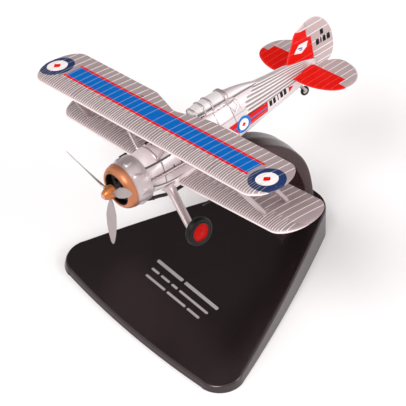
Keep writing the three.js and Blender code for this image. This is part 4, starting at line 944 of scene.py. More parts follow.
def hoop(name, x, half_width, height, girth_end, foot=0.25):
    """Raised band over the top of the fuselage at station x."""
    half = np.linspace(0, girth_end, 40)
    loops = []
    for girth in np.concatenate([-half[::-1], half[1:]]):
        y, z = fuselage_point(x, abs(girth))
        place = np.array([x, y if girth >= 0 else -y, z])
        normal = unit(place * [0, 1, 1])
        profile = [(-1, -foot), (-1, height * 0.55), (-0.55, height * 0.95),
                   (0, height * 1.05), (0.55, height * 0.95), (1, height * 0.55), (1, -foot)]
        loops.append([place + normal * out + np.array([along * half_width, 0, 0])
                      for along, out in profile])
    build(name, loft(loops), "silver", attrs={"rib": 0.0})


def lower_wing_and_belly():
    ribs = rib_layout(LOWER_ROOT, LOWER_RIBS)
    panels, masks, fractions = [], [], []
    for side, _ in SIDES:
        loops, mask, fraction, _ = (grid[::side] for grid in
                                    wing_half(LOWER, LOWER_ROOT, side, ribs))
        panels.append(loft(loops))
        masks.append(mask)
        fractions.append(fraction)
    build("lower_wing_panels", merge(*panels), "lower_wing", replaces=["lower_wing_and_belly"],
          sharp=50, attrs={**wing_attributes(np.concatenate(masks), np.concatenate(fractions)),
                           "sd_mark": 9.0})
    mesh, masks = skin_panel(~ON_BELLY, lift=-0.12)
    build("belly_skin", mesh, "lit_metal", solid=SKIN_WALL, sharp=30, attrs=masks)


def wing_root_fillet(side, tag):
    """Fairing where the lower wing meets the fuselage side."""
    inner, outer = 5.8, 6.0
    loops = []
    for k in np.linspace(0, 1, 40):
        x = LOWER["lead"] + 1.4 - k * (LOWER["chord"] + 0.6)
        fraction = min(1, max(0, (LOWER["lead"] - x) / LOWER["chord"]))
        z = wing_point(LOWER, inner, fraction, CAMBER_TOP)[2]
        size = math.sin(math.pi * max(0.02, k)) ** 0.5
        width = (1.7 + 1.5 * fade(0.22, 0.5, k)) * size
        loop = [[x, side * (outer + width * (1 - math.sin(a))),
                 z + 0.28 * size + size * (1 - math.cos(a))]
                for a in np.linspace(0, math.pi / 2, 8)]
        loop += [[x, side * inner, z + 1.28 * size], [x, side * inner, z - 0.7],
                 [x, side * (outer + width), z - 0.7]]
        loops.append(loop)
    build(f"{tag}_wing_root_fillet", loft(loops), "lit_metal", sharp=60,
          attrs={"rib": 0.0, "line": 0.0})


fuselage_skins()
hoop("decking_band", x=-23.05, half_width=0.42, height=0.34, girth_end=0.27)
hoop("decking_band_rear", x=-37.6, half_width=0.25, height=0.16, girth_end=0.22)
lower_wing_and_belly()
for side, tag in SIDES:
    wing_root_fillet(side, tag)

# ------------------------------------------------------------------ struts
INTERPLANE_LOW_Y, INTERPLANE_HIGH_Y = 52.1, 46.2
# place, chord fraction on the lower wing, chord fraction on the upper wing
INTERPLANE = (("front", 0.20, 0.15), ("rear", 0.64, 0.59))
# place, foot on the fuselage, y on the upper wing, chord fraction there
CABANE = (("front", (-23.2, 5.5, 5.8), 13.6, 0.19), ("rear", (-37.0, 5.7, 6.4), 14.4, 0.62))
FOOT_PROFILE = [[0.0, 0], [0.0, 1.0], [0.22, 0.95], [0.42, 0.6], [0.5, 0]]


def strut(low, high, chord, thickness, flare):
    """Streamlined strut, tapered to its ends but for a short flare."""
    low, high = np.array(low, float), np.array(high, float)
    length = np.linalg.norm(high - low)
    sideways = strut_sideways(unit(high - low))
    lengthwise, across = foil(0.35, 1.06)
    loops = []
    for t in np.linspace(0, 1, 26):
        size = 1 - 0.1 * abs(2 * t - 1) ** 2
        size *= 1 + flare * math.exp(-((min(t, 1 - t) * length / 0.9) ** 2))
        loops.append(low + (high - low) * t
                     + size * (np.outer(lengthwise * chord, [1, 0, 0])
                               + np.outer(across * thickness, sideways)))
    return loft(loops)


def struts(side, tag):
    for where, low_fraction, high_fraction in INTERPLANE:
        low = wing_point(LOWER, side * INTERPLANE_LOW_Y, low_fraction, CAMBER_TOP)
        high = wing_point(UPPER, side * INTERPLANE_HIGH_Y, high_fraction, CAMBER_BOTTOM)
        post = strut(low + [0, 0, 0.02], high, chord=2.25, thickness=1.2, flare=0.10)
        foot = moved(lathe(FOOT_PROFILE, 26, "z"), [1.45, 1, 1], low - [0, 0, 0.05])
        skin(f"{tag}_{where}_interplane_strut", merge(post, foot), "silver")
        clips = [rounded_box(low + [x, 0, 0.42], (0.22, 0.5, 0.14), 0.08)
                 for x in (-1.25, 1.25)]
        build(f"{tag}_{where}_strut_foot_clips", merge(*clips), "silver")
    for where, foot, high_y, fraction in CABANE:
        high = wing_point(UPPER, side * high_y, fraction, CAMBER_BOTTOM)
        post = strut(np.array(foot) * [1, side, 1], high, chord=1.85, thickness=1.1, flare=0.25)
        skin(f"{tag}_{where}_cabane_strut", post, "silver")


for side, tag in SIDES:
    struts(side, tag)

# ------------------------------------------------------------------ undercarriage
LEG_TOP = np.array([-25.9, 5.5, -7.6])
LEG_BOTTOM = np.array([-24.1, 17.2, -21.4])
# share of the way down, chord, width
LEG = [(-0.02, 7.4, 4.2), (0.0, 6.6, 3.6), (0.05, 5.1, 2.9), (0.12, 4.25, 2.4),
       (0.22, 3.8, 2.05), (0.86, 3.5, 1.75), (0.97, 3.3, 1.7), (1.02, 2.6, 1.4), (1.05, 0.9, 0.5)]
# turned profiles on the wheel axle: distance outboard, radius
AXLE_BOSS = [(0, 0), (0, 1.05), (0.35, 1.15), (1.35, 1.15), (1.55, 0.9), (1.55, 0)]
BOSS_INSET = 3.3
RIM = [(1.12, 3.55), (1.42, 3.6), (1.56, 3.8), (1.5, 4.0), (1.28, 4.02), (1.05, 3.9)]
DISC = [(-1.4, 0), (-1.4, 1.2), (-1.1, 1.55), (-1.1, 3.62), (1.12, 3.62), (1.16, 3.45),
        (0.92, 3.2), (1.18, 1.6), (1.3, 0.95), (1.48, 0.85), (1.56, 0.62), (1.6, 0)]
STUD = [(0.98, 0), (0.98, 0.2), (1.14, 0.16), (1.17, 0)]
STUD_COUNT, STUD_CIRCLE = 6, 2.35


def undercarriage_leg(side, tag):
    top, bottom = LEG_TOP * [1, side, 1], LEG_BOTTOM * [1, side, 1]
    sideways = strut_sideways(unit(bottom - top))
    lengthwise, across = foil(0.25, 1.03)
    loops = []
    for t in np.concatenate([np.linspace(-0.02, 0.3, 34), np.linspace(0.32, 0.92, 14),
                             np.linspace(0.94, 1.05, 10)]):
        chord, width = read_table(LEG, t)
        loops.append(top + (bottom - top) * t + np.outer(lengthwise * chord, [1, 0, 0])
                     + np.outer(across * width, sideways))
    boss = lathe(np.array(AXLE_BOSS) * [side, 1], 32, "y",
                 (WHEEL[0], side * (WHEEL[1] - BOSS_INSET), WHEEL[2]))
    skin(f"{tag}_undercarriage_leg", merge(loft(loops), boss), "silver", sharp=40)


def main_wheel(side, tag):
    hub = WHEEL * [1, side, 1]
    outboard = [side, 1]
    body = f"{tag}_wheel"
    profile = []
    for a in np.linspace(0, 2 * math.pi, 48, endpoint=False):
        cos, sin = math.cos(a), math.sin(a)
        radius = 4.66 + 1.08 * np.sign(cos) * abs(cos) ** 0.9
        y = 1.5 * np.sign(sin) * abs(sin) ** 0.8
        for groove_y in (-0.5, 0.0, 0.5):
            if cos > 0.85 and abs(y - groove_y) < 0.11:
                radius -= 0.12
        profile.append([y, radius])
    skin(f"{tag}_tyre", lathe(profile, 84, "y", hub, closed=True), "tyre", body=body, sharp=28)
    build(f"{tag}_wheel_rim_ring", lathe(np.array(RIM) * outboard, 84, "y", hub, closed=True),
          "rim", body=body, sharp=40)
    parts = [lathe(np.array(DISC) * outboard, 72, "y", hub)]
    for k in range(STUD_COUNT):
        a = 2 * math.pi * k / STUD_COUNT
        place = hub + [STUD_CIRCLE * math.cos(a), 0, STUD_CIRCLE * math.sin(a)]
        parts.append(lathe(np.array(STUD) * outboard, 12, "y", place))
    skin(f"{tag}_wheel_disc", merge(*parts), "disc", body=body, sharp=30)


for side, tag in SIDES:
    undercarriage_leg(side, tag)
    main_wheel(side, tag)

# ------------------------------------------------------------------ cowl and engine
CYLINDER_ANGLES = [rad(-2 + 40 * k) for k in range(9)]
COWL_OUTER = [(-16.5, 9.66), (-16.2, 9.78), (-14.6, 9.84), (-12.4, 9.60), (-10.55, 9.2)]  # x, radius
COWL_INNER = [(-16.5, 9.25), (-14.6, 9.3), (-10.55, 8.7)]
# outer face of the copper ring: share of the way, x, radius
COLLECTOR = [(0, -10.45, 9.22), (0.2, -9.5, 9.2), (0.45, -8.1, 8.92), (0.65, -7.0, 8.4),
             (0.8, -6.25, 7.75), (0.9, -6.05, 7.2), (1.0, -6.35, 6.75)]
COLLECTOR_INNER = [(-6.9, 6.52), (-7.8, 6.5), (-8.8, 6.9), (-10.45, 7.5)]
COLLECTOR_STEPS, COLLECTOR_SEGMENTS = 40, 128
JOINT_BAND = [(-10.42, 9.18), (-10.3, 9.36), (-10.62, 9.42), (-10.85, 9.36), (-10.75, 9.15)]
CRANKCASE = [(-8.2, 0), (-8.25, 0.9), (-8.7, 1.5), (-8.9, 2.3), (-9.5, 2.9), (-10.3, 3.1),
             (-14.6, 3.1), (-14.8, 3.6), (-14.8, 8.9), (-15.6, 8.95), (-15.6, 2.1),
             (-20.4, 2.1), (-20.4, 0)]


def fit_cowl(mesh, datum=0.0, new_datum=0.0, stretch=1.0):
    """Shrinks and lowers a round part onto the nose and stretches it lengthwise."""
    return moved(mesh, [stretch, 0.955, 0.955], [new_datum - datum * stretch, 0, -0.45])


def engine_cowl():
    """Cowl with a blister over each cylinder."""
    stations = np.unique(np.concatenate([np.linspace(-16.5, -10.5, 64),
                                         [-10.55, -10.75, -11.0]]))[::-1]
    angles = np.linspace(0, 2 * math.pi, 324, endpoint=False)
    x = stations[:, None]
    radius = np.repeat(read_table(COWL_OUTER, stations)[0][:, None], len(angles), 1)
    aft = (-11.2 - x) / 3.9         # 0 at the nose of the blister, 1 at its tail
    width = (0.22 + 0.72 * np.sqrt(np.clip(aft * 4, 0, 1))
             * (1 - np.clip((aft - 0.3) / 0.75, 0, 1)) ** 0.9)
    height = 0.42 * rise(0.0, 0.22, aft) * fade(0.35, 1.0, aft)
    for cylinder in CYLINDER_ANGLES:
        away = ((angles - cylinder + math.pi) % (2 * math.pi) - math.pi)[None, :] * 9.6
        radius += height * np.exp(-((away / width) ** 4) * 0.7) * (np.abs(away) < 2.4)
    radius -= 0.12 * fade(0.05, 0.12, np.abs(x + 10.72))
    radius -= 0.08 * fade(0.05, 0.12, np.abs(x + 15.9))

    def wall(x, radius):
        return np.stack([np.repeat(x, len(angles), 1), radius * np.cos(angles),
                         radius * np.sin(angles)], -1)

    back = x[::-1]
    loops = np.concatenate([wall(x, radius), wall(back, read_table(COWL_INNER, back)[0])])
    skin("engine_cowl", fit_cowl(loft(loops, closed=True), -16.5, -16.7, 6.6 / 5.95), "cowl",
         sharp=50)


def collector_ring():
    outer = np.column_stack(read_table(COLLECTOR, np.linspace(0, 1, COLLECTOR_STEPS)))
    mesh = lathe(np.concatenate([outer, COLLECTOR_INNER]), COLLECTOR_SEGMENTS, closed=True)
    rows = np.arange(len(mesh[0])) // COLLECTOR_SEGMENTS
    # the inner face is coloured near black: painted shade inside the ring
    skin("copper_collector_ring", fit_cowl(mesh, -10.45, -10.1, 3.6 / 4.4), "copper", sharp=40,
         attrs={"sd_inside_shade": np.where(rows >= COLLECTOR_STEPS - 1, -1.0, 1.0)})
    build("cowl_joint_band", fit_cowl(lathe(JOINT_BAND, 128, closed=True), new_datum=0.42),
          "silver", sharp=60)


def radial_engine():
    cylinder = [[2.6, 0], [2.6, 1.15]]
    for q in np.arange(3.2, 7.2, 0.42):
        cylinder += [[q, 1.0], [q + 0.06, 1.42], [q + 0.22, 1.42], [q + 0.28, 1.0]]
    cylinder += [[7.5, 1.1], [7.6, 1.45], [8.3, 1.4], [8.55, 1.0], [8.55, 0]]
    parts = [lathe(CRANKCASE, 72)]
    for angle in CYLINDER_ANGLES:
        parts.append(radial_lathe(cylinder, 28, angle, -12.9))
        out = np.array([0, math.cos(angle), math.sin(angle)])
        across = np.cross(out, [1, 0, 0])
        for sign in (-1, 1):    # two thin rods ahead of each cylinder
            inner = np.array([-10.2, 0, 0]) + out * 2.8 + across * sign * 0.45
            outer = np.array([-11.3, 0, 0]) + out * 8.0 + across * sign * 0.85
            parts.append(sweep([inner, outer], 0.2, 10, 14))
    skin("radial_engine", moved(merge(*parts), [1, 0.93, 0.93], [0, 0, -0.3]), "engine",
         sharp=40)


engine_cowl()
collector_ring()
radial_engine()

# ------------------------------------------------------------------ exhausts and guns
EXHAUST = [[-14.6, 3.3, -7.9], [-16.2, 3.6, -8.75], [-17.8, 3.8, -9.4], [-19.8, 3.8, -9.95],
           [-22.0, 3.8, -10.6], [-24.4, 3.75, -11.45], [-28.0, 3.65, -12.2],
           [-33.8, 3.5, -12.4]]
EXHAUST_CLIPS = [[-19.0, 3.8, -9.74], [-29.5, 3.62, -12.28]]
TUBE_FRONT, TUBE_REAR = np.array([-17.2, 7.95, 0.5]), np.array([-34.3, 7.6, -0.45])
UNDERWING_GUN_Y = 25
GUN_BODY = [(-29.7, 0), (-29.7, 0.38), (-30.2, 0.7), (-31.2, 0.9), (-35.5, 0.95),
            (-38, 0.75), (-39.3, 0.4), (-39.6, 0)]


def collar(start, end, inner, outer, segments, centre):
    profile = [[start, inner], [start, outer], [end, outer], [end, inner]]
    return lathe(profile, segments, "x", centre, closed=True)


def exhaust_pipe(side, tag):
    mirror = [1, side, 1]
    clips = [collar(-0.3, 0.3, 0.6, 0.84, 24, place)
             for place in np.array(EXHAUST_CLIPS) * mirror]
    pipe = sweep(np.array(EXHAUST) * mirror, 0.68, 24, 110)
    skin(f"{tag}_exhaust_pipe", merge(pipe, *clips), "exhaust")


def gun_blast_tube(side, tag):
    """Tube lying in its trough, and the dark upright catches beside it."""
    front, rear = TUBE_FRONT * [1, side, 1], TUBE_REAR * [1, side, 1]
    collars = [collar(-0.25, 0.25, 0.4, 0.62, 26, front + (rear - front) * share)
               for share in (0.30, 0.66, 0.97)]
    skin(f"{tag}_gun_blast_tube", merge(sweep([front, rear], 0.50, 26, 70), *collars), "silver")
    catches = []
    for x in (-28.5, -32.1):
        path = [[x, side * (side_y(x, z) + 0.1), z] for z in 1.0 - 0.6 * np.linspace(-1, 1, 5)]
        catches.append(sweep(path, 0.17, 10, 12))
    build(f"{tag}_side_catches", merge(*catches), "dark")


def underwing_gun(side, tag):
    y = side * UNDERWING_GUN_Y
    z = LOWER["height"] + UNDERWING_GUN_Y * math.tan(rad(LOWER["dihedral"])) - 1.15
    barrel = sweep([[-25.9, y, z], [-31, y, z]], 0.46, 18, 16)
    mount = rounded_box((-34.0, y, z + 0.75), (2.2, 0.28, 0.7), 0.15)
    skin(f"{tag}_underwing_gun", merge(barrel, lathe(GUN_BODY, 32, "x", (0, y, z)), mount),
         "dark")


def gun_sight():
    height = 10.75
    tube = sweep([[-22.9, 0, height], [-26.6, 0, height]], 0.38, 20, 20)
    post = sweep([[-25.6, 0, 10.6], [-25.6, 0, 8.9]], 0.26, 14, 10)
    ring = collar(-23.0, -23.35, 0.3, 0.55, 24, (0, 0, height))
    skin("gun_sight", merge(tube, post, ring), "dark")


for side, tag in SIDES:
    exhaust_pipe(side, tag)
    gun_blast_tube(side, tag)
    underwing_gun(side, tag)
gun_sight()

# ------------------------------------------------------------------ tail surfaces
# edges of the tailplane: y, x
TAILPLANE_SPAN = (0.9, 24.45)
TAILPLANE_Z, ELEVATOR_HINGE = 2.8, -103.4
TAILPLANE_FRONT = ([0.9, 3.0, 9.0, 13.2, 17.4, 20.9, 23.2, 24.2, 24.45],
                   [-91.7, -91.7, -91.75, -92.3, -93.6, -95.4, -97.7, -99.9, -102.0])
TAILPLANE_BACK = ([0.9, 1.9, 2.1, 2.9, 4.4, 6.4, 9.8, 13.0, 16.9, 20.4, 22.9, 24.1, 24.45],
                  [-103.3, -103.5, -104.0, -106.2, -109.3, -111.6, -112.5, -112.2, -111.2,
                   -109.3, -106.9, -104.6, -102.4])
TAILPLANE_RIBS = [3.6, 7.0, 10.4, 13.8, 17.2, 20.4]
# edges of the fin and rudder: z, x
FIN_SPAN = (-1.6, 21.5)
FIN_STRAIGHT_TOP = 7.75         # the front edge is straight-sided below this height
FIN_FRONT = ([-1.6, 4.1, 4.3, 5.8, 7.75, 14.9, 18.1, 19.3, 20.0, 21.1, 21.5],
             [-105.5, -105.4, -104.6, -100.0, -92.2, -95.8, -97.5, -99.0, -100.9, -103.6,
              -106.0])
RUDDER_BACK = ([-1.6, -1.2, -0.6, 0.1, 1.3, 3.4, 5.6, 8.4, 11.6, 14.0, 16.4, 18.7, 20.4, 21.3,
                21.5],
               [-105.6, -107.4, -109.8, -112.1, -113.9, -115.3, -115.95, -116.1, -115.95,
                -115.3, -114.2, -112.5, -110.4, -108.3, -106.1])
FIN_RIBS = [1.9, 4.7, 7.1, 11.3, 15.2, 18.8]


def thin_surface(span, front, back, ribs, hinge, thickness, place):
    """Thin ribbed surface between two edge curves; place(x, span, height) gives points."""
    stations = {round(float(a), 3) for a in np.arange(*span, 0.34)} | {round(span[1], 3)}
    for rib in ribs:
        stations.update(round(rib + d, 3) for d in (-0.25, -0.16, -0.08, 0.08, 0.16, 0.25))
    for q in np.linspace(0, 1, 14):
        stations.add(round(span[1] - (1 - math.sin(q * math.pi / 2)) * 1.2, 3))
    stations = thinned(np.array(sorted(a for a in stations if span[0] <= a <= span[1])))
    front_x, back_x = front(stations)[:, None], back(stations)[:, None]
    width = np.maximum(front_x - back_x, 0.02)
    u = np.linspace(0, 1, 64)
    spread = 0.5 * (0.5 - 0.5 * np.cos(math.pi * u)) + 0.5 * u
    out, fraction = np.meshgrid(stations, spread, indexing="ij")
    x = front_x - width * fraction
    edge = np.minimum(front_x - x, x - back_x)
    tip = np.clip((span[1] - out) / 1.6, 0, 1) ** 0.5
    height = (0.5 * thickness * np.clip(edge / 1.5, 0, 1) ** 0.5 * tip
              * (0.72 + 0.28 * np.clip(width / 16, 0, 1)))
    height = np.maximum(height, 0.02)
    mask = np.zeros_like(out)
    for rib in ribs:
        mask = np.maximum(mask, fade(0.08, 0.235, np.abs(out - rib)) * rise(0.25, 0.7, edge))
    height = height + 0.13 * mask
    height = height - 0.20 * fade(0.08, 0.20, np.abs(x - hinge(out))) * (edge > 0.3)
    height = np.maximum(height, 0.02)
    # painted highlight on the ribs and in a band along the outline
    shine = np.maximum(mask, fade(0.25, 0.55, edge) * 0.8 * 0.9)    # ribs and outline band

    def both_faces(upper, lower):
        return np.concatenate([upper, lower[:, ::-1][:, 1:-1]], 1)

    mesh = loft(both_faces(np.stack(place(x, out, height), -1),
                           np.stack(place(x, out, -height), -1)))
    return mesh, both_faces(shine, shine).ravel()


def tailplane():
    (points, faces), rib = thin_surface(
        TAILPLANE_SPAN, lambda y: smooth_curve(*TAILPLANE_FRONT, y),
        lambda y: smooth_curve(*TAILPLANE_BACK, y), TAILPLANE_RIBS,
        hinge=lambda y: ELEVATOR_HINGE, thickness=1.05,
        place=lambda x, y, height: (x, y, TAILPLANE_Z + height))
    mirrored = points * [1, -1, 1], [face[::-1] for face in faces]
    mesh = merge((points, faces), mirrored)
    red = polygon_distance(mesh[0][:, 0], np.abs(mesh[0][:, 1]), [
        (-91.0, 0.0), (-91.0, 18), (-94.0, 24.2), (-99.7, 26), (-99.7, 20.4), (-103.3, 20.4),
        (-103.3, 2.2), (-103.3, 0.0)])
    skin("tailplane", mesh, "tail", replaces="tailplane_with_elevators", sharp=50,
         attrs={"rib": np.concatenate([rib, rib]), "sd_red": red})


def fin_front(z):
    return np.where(z < FIN_STRAIGHT_TOP, np.interp(z, *FIN_FRONT), smooth_curve(*FIN_FRONT, z))


def fin_and_rudder():
    mesh, rib = thin_surface(
        FIN_SPAN, fin_front, lambda z: smooth_curve(*RUDDER_BACK, z), FIN_RIBS,
        hinge=lambda z: np.where(z > 14.6, -103.5, -105.35), thickness=1.15,
        place=lambda x, z, height: (x, height, z))
    x, z = mesh[0][:, 0], mesh[0][:, 2]
    blocks = [box_distance(x, z, (-110.7, 13.7), (0.80, 1.15))]
    for block_x, half in ((-108.0, 0.82), (-109.75, 0.32), (-111.45, 0.78), (-113.6, 0.82)):
        blocks.append(box_distance(x, z, (block_x, 10.35), (half, 1.28)))
    skin("fin_and_rudder", mesh, "fin", sharp=50, attrs={
        "rib": rib,
        "sd_red": polygon_distance(x, z, [
            (-90, 3.0), (-94.0, 16.0), (-97.4, 19.6), (-98.7, 19.1), (-103.45, 18.3),
            (-103.3, 14.7), (-105.3, 14.5), (-105.2, 3.0)]),
        "sd_white": polygon_distance(x, z, [
            (-95.9, 10.9), (-99.0, 13.6), (-103.6, 13.3), (-102.3, 11.0), (-99.6, 9.6)]),
        "sd_badge": union(box_distance(x, z, (-99.4, 11.9), (1.15, 0.28), 0.25),
                          box_distance(x, z, (-99.6, 11.1), (0.8, 0.22), 0.25)),
        "sd_black": union(*blocks)})


def tail_wheel():
    hub = (-98.6, 0, -7.2)
    tyre = [[0.66 * math.sin(a), 1.42 + 0.5 * math.cos(a)] for a in AROUND]
    build("tail_wheel_tyre", lathe(tyre, 48, "y", hub, closed=True), "tyre", slot="dark_metal")
    disc = [[-0.45, 0], [-0.5, 0.5], [-0.42, 1.05], [0.42, 1.05], [0.5, 0.5], [0.45, 0]]
    axle = [[-1.15, 0], [-1.15, 0.3], [1.15, 0.3], [1.15, 0]]
    parts = [lathe(disc, 36, "y", hub),
             sweep([[-97.0, 0, -2.0], [-97.1, 0, -3.4], [-97.4, 0, -4.9]], 0.62, 20, 20)]
    for side, _ in SIDES:
        path = [[-97.3, side * 0.3, -4.6], [-97.6, side * 0.86, -5.2],
                [-98.2, side * 0.95, -6.2], [-98.6, side * 0.95, -7.3]]
        parts.append(sweep(path, 0.34, 16, 26, flat=1.5))
    parts.append(lathe(axle, 18, "y", hub))
    skin("tail_wheel_and_fork", merge(*parts), "silver", slot="dark_metal")


tailplane()
fin_and_rudder()
tail_wheel()

# ------------------------------------------------------------------ cockpit and canopy
# x, half width, floor height, rim height
TUB = ((-45.2, 2.7, 4.6, 11.0), (-48.5, 2.95, 4.5, 11.75), (-55, 3.0, 4.5, 11.8),
       (-58.6, 2.9, 4.6, 11.7))
# x, half width, sill height, crown height
CANOPY = np.array([[-43.4, 1.5, 10.35, 11.2], [-45.4, 2.85, 10.4, 12.95],
                   [-48.2, 3.25, 10.5, 13.65], [-54.0, 3.4, 10.7, 13.85],
                   [-60.8, 3.45, 10.9, 13.75]])[::-1]
# x, half width along x, height above the glazing
CANOPY_ARCHES = ((-45.5, 0.36, 0.40), (-49.3, 0.38, 0.40), (-52.9, 0.42, 0.40),
                 (-59.7, 0.85, 0.50), (-43.75, 0.3, 0.3))
FINE_ARC = 401                  # points in an arc used to pick places on the canopy


def cockpit():
    loops = []
    for x, half, floor_z, rim in TUB:
        port = [(half, rim), (half - 0.25, rim), (half * 0.94 - 0.25, floor_z + 0.9),
                (half * 0.65, floor_z + 0.25)]
        outer = [(half * 0.7, floor_z), (half * 0.94, floor_z + 0.7)]
        loop = [(-half, rim)] + [(-y, z) for y, z in outer[::-1]] + outer + port
        loop += [(-y, z) for y, z in port[:0:-1]]
        loops.append([[x, y, z] for y, z in loop])
    build("cockpit_tub", loft(loops), "cockpit")
    ends = [rounded_box((x, 0, 7.8), (0.18, 2.9, 3.2), 0.12) for x in (-45.4, -58.4)]
    build("cockpit_bulkheads", merge(*ends), "cockpit")


def canopy_arc(x, count=61, grow=0.0):
    """Arc over the canopy from the port sill to the starboard sill."""
    half, sill, crown = (float(value) for value in read_table(CANOPY, x))
    angles = np.linspace(0, 1, count) * math.pi
    cos, sin = np.cos(angles), np.sin(angles)
    y = (half + grow) * np.sign(cos) * np.abs(cos) ** 0.62
    z = sill - 0.25 + (crown + grow - sill + 0.25) * np.clip(sin, 0, 1) ** 0.78
    return np.stack([np.full(count, x), y, z], -1)


def canopy_arch(x, half_width, height):
    profile = ((-1, -0.05), (-1, height * 0.7), (-0.5, height), (0.5, height),
               (1, height * 0.7), (1, -0.05))
    loops = []
    for inner, outer in zip(canopy_arc(x), canopy_arc(x, grow=1.0)):
        away = (outer - inner) / max(np.linalg.norm(outer - inner), 1e-9)
        loops.append([inner + away * rise_by + np.array([along * half_width, 0, 0])
                      for along, rise_by in profile])
    return loft(loops)


def canopy():
    grid = np.array([canopy_arc(float(x)) for x in np.linspace(-43.4, -60.8, 60)])
    skin("canopy_glazing", sheet(grid, 9.5)[0], "glass", solid=0.22, sharp=60)
    parts = [canopy_arch(*arch) for arch in CANOPY_ARCHES]
    for index in (8, 392):      # lengthwise rails along both sills
        path = [canopy_arc(float(x), FINE_ARC)[index] + np.array([0, 0, 0.05])
                for x in np.linspace(-43.6, -60.4, 40)]
        parts.append(sweep(path, 0.30, 12, 60))
    for front, back in ((60, 110), (340, 290)):     # slanted windscreen bars
        low = canopy_arc(-43.9, FINE_ARC)[front]
        high = canopy_arc(-45.9, FINE_ARC)[back]
        lift = [0, 0, 0.1]
        parts.append(sweep([low, (low + high) / 2 + lift, high + lift], 0.17, 10, 14))
    skin("canopy_frame", merge(*parts), "silver", sharp=40)


def cockpit_shade_strip(side, tag):
    """Dark strip along the cockpit edge under the lower panes, standing in for the shade inside the
    cockpit.
    """
    path = [[x, side * (float(read_table(CANOPY, x)[0]) - 0.62),
             11.0 + 0.25 * math.sin((x + 45.0) * 1.6)] for x in np.linspace(-45.0, -58.2, 30)]
    build(f"{tag}_cockpit_shade_strip", sweep(path, 0.42, 14, 60), "cockpit")


def canopy_rail(side, tag):
    """Low rail on which the canopy slides."""
    height = 10.3
    path = [[x, side * (side_y(x, height) + 0.12), height]
            for x in np.linspace(-44.5, -63.2, 30)]
    build(f"{tag}_canopy_rail", sweep(path, 0.2, 12, 50), "silver")


cockpit()
canopy()
for piece in (cockpit_shade_strip, canopy_rail):
    for side, tag in SIDES:
        piece(side, tag)

# ------------------------------------------------------------------ propeller
BLADE_ANGLES = [rad(degrees) for degrees in (-93.1, 26.9, 146.9)]
# radius, chord, thickness, pitch in degrees
BLADE = [(1.2, 1.3, 1.3, 58), (3.4, 1.35, 1.05, 51), (5.4, 2.3, 0.85, 44), (7.6, 3.25, 0.75, 38),
         (10.2, 3.95, 0.65, 33), (13.4, 3.9, 0.55, 29), (17.4, 3.15, 0.42, 25),
         (20.6, 1.95, 0.32, 22), (21.8, 1.2, 0.27, 21), (22.3, 0.35, 0.2, 20)]
BLADE_ROOT, BLADE_TIP, TIP_LENGTH = 1.2, 22.3, 1.9
HUB = [(-2.9, 0), (-2.9, 1.5), (-3.1, 1.72), (-4.9, 1.72), (-5.1, 1.5), (-5.1, 0)]
SPINNER_LENGTH = 5.1
# share of the way back, radius
SPINNER = [(0, 0.0), (0.03, 0.5), (0.12, 1.0), (0.3, 1.62), (0.5, 2.12), (0.7, 2.46),
           (0.85, 2.62), (1.0, 2.68)]
SPINNER_BACK = [(-5.3, 2.62), (-5.35, 2.45), (-5.35, 0)]
CUFF = [(1.4, 0), (1.4, 0.95), (2.25, 0.92), (2.55, 0.85), (2.65, 0.7), (2.65, 0)]


def blade(angle):
    cos, sin = math.cos(angle), math.sin(angle)
    round_start = BLADE_TIP - TIP_LENGTH
    radii = np.concatenate([
        np.linspace(BLADE_ROOT, round_start, 46),
        round_start + TIP_LENGTH * np.sin(np.linspace(0.06, 1, 12) * math.pi / 2)])
    loops = []
    for radius in radii:
        chord, thickness, pitch = (float(value) for value in read_table(BLADE, radius))
        x = -3.6 + 2.8 * max(0, radius - 1.6) / (BLADE_TIP - 1.6)
        flat, steep = math.cos(rad(pitch)), math.sin(rad(pitch))
        chordwise = np.array([-steep, -sin * flat, cos * flat])
        normal = np.array([flat, -sin * steep, cos * steep])
        formed = min(1.0, max(0.0, (radius - 2.0) / 4.0))      # round root to full blade
        lengthwise, across = foil(0.3 * formed)
        across = np.where(across < 0, across * (1 - 0.35 * formed), across)
        loops.append(np.array([x, radius * cos, radius * sin])
                     + np.outer(lengthwise * chord, chordwise)
                     + np.outer(across * thickness, normal))
    return loft(loops)


def propeller():
    parts = [lathe(HUB, 48)] + [blade(angle) for angle in BLADE_ANGLES]
    skin("propeller_blades", merge(*parts), "blade", body="propeller", sharp=60)


def spinner():
    profile = [(-SPINNER_LENGTH * t**1.35, float(read_table(SPINNER, t)[0]))
               for t in np.linspace(0, 1, 30)]
    cuffs = [radial_lathe(CUFF, 36, angle, -3.5) for angle in BLADE_ANGLES]
    mesh = merge(lathe(profile + SPINNER_BACK, 84), *cuffs)
    skin("spinner", mesh, "spinner", body="propeller", sharp=40,
         attrs={"sd_tip": -(mesh[0][:, 0] + 0.42)})


propeller()
spinner()

# ------------------------------------------------------------------ stand base
STAND_LENGTH = 98.8
FRONT_HALF, REAR_HALF = 52.7, 10.1          # half widths
FRONT_BOW, SIDE_BOW = 3.9, 1.9
FRONT_CORNER, REAR_CORNER = 10.3, 11.5      # corner radii in plan
FRONT_HEIGHT, REAR_HEIGHT = 2.4, 15.0
EDGE_RADIUS, CHAMFER, DRAFT = 1.0, 0.15, 0.4


def stand_top(x):
    return FRONT_HEIGHT + (REAR_HEIGHT - FRONT_HEIGHT) * (-x / STAND_LENGTH)


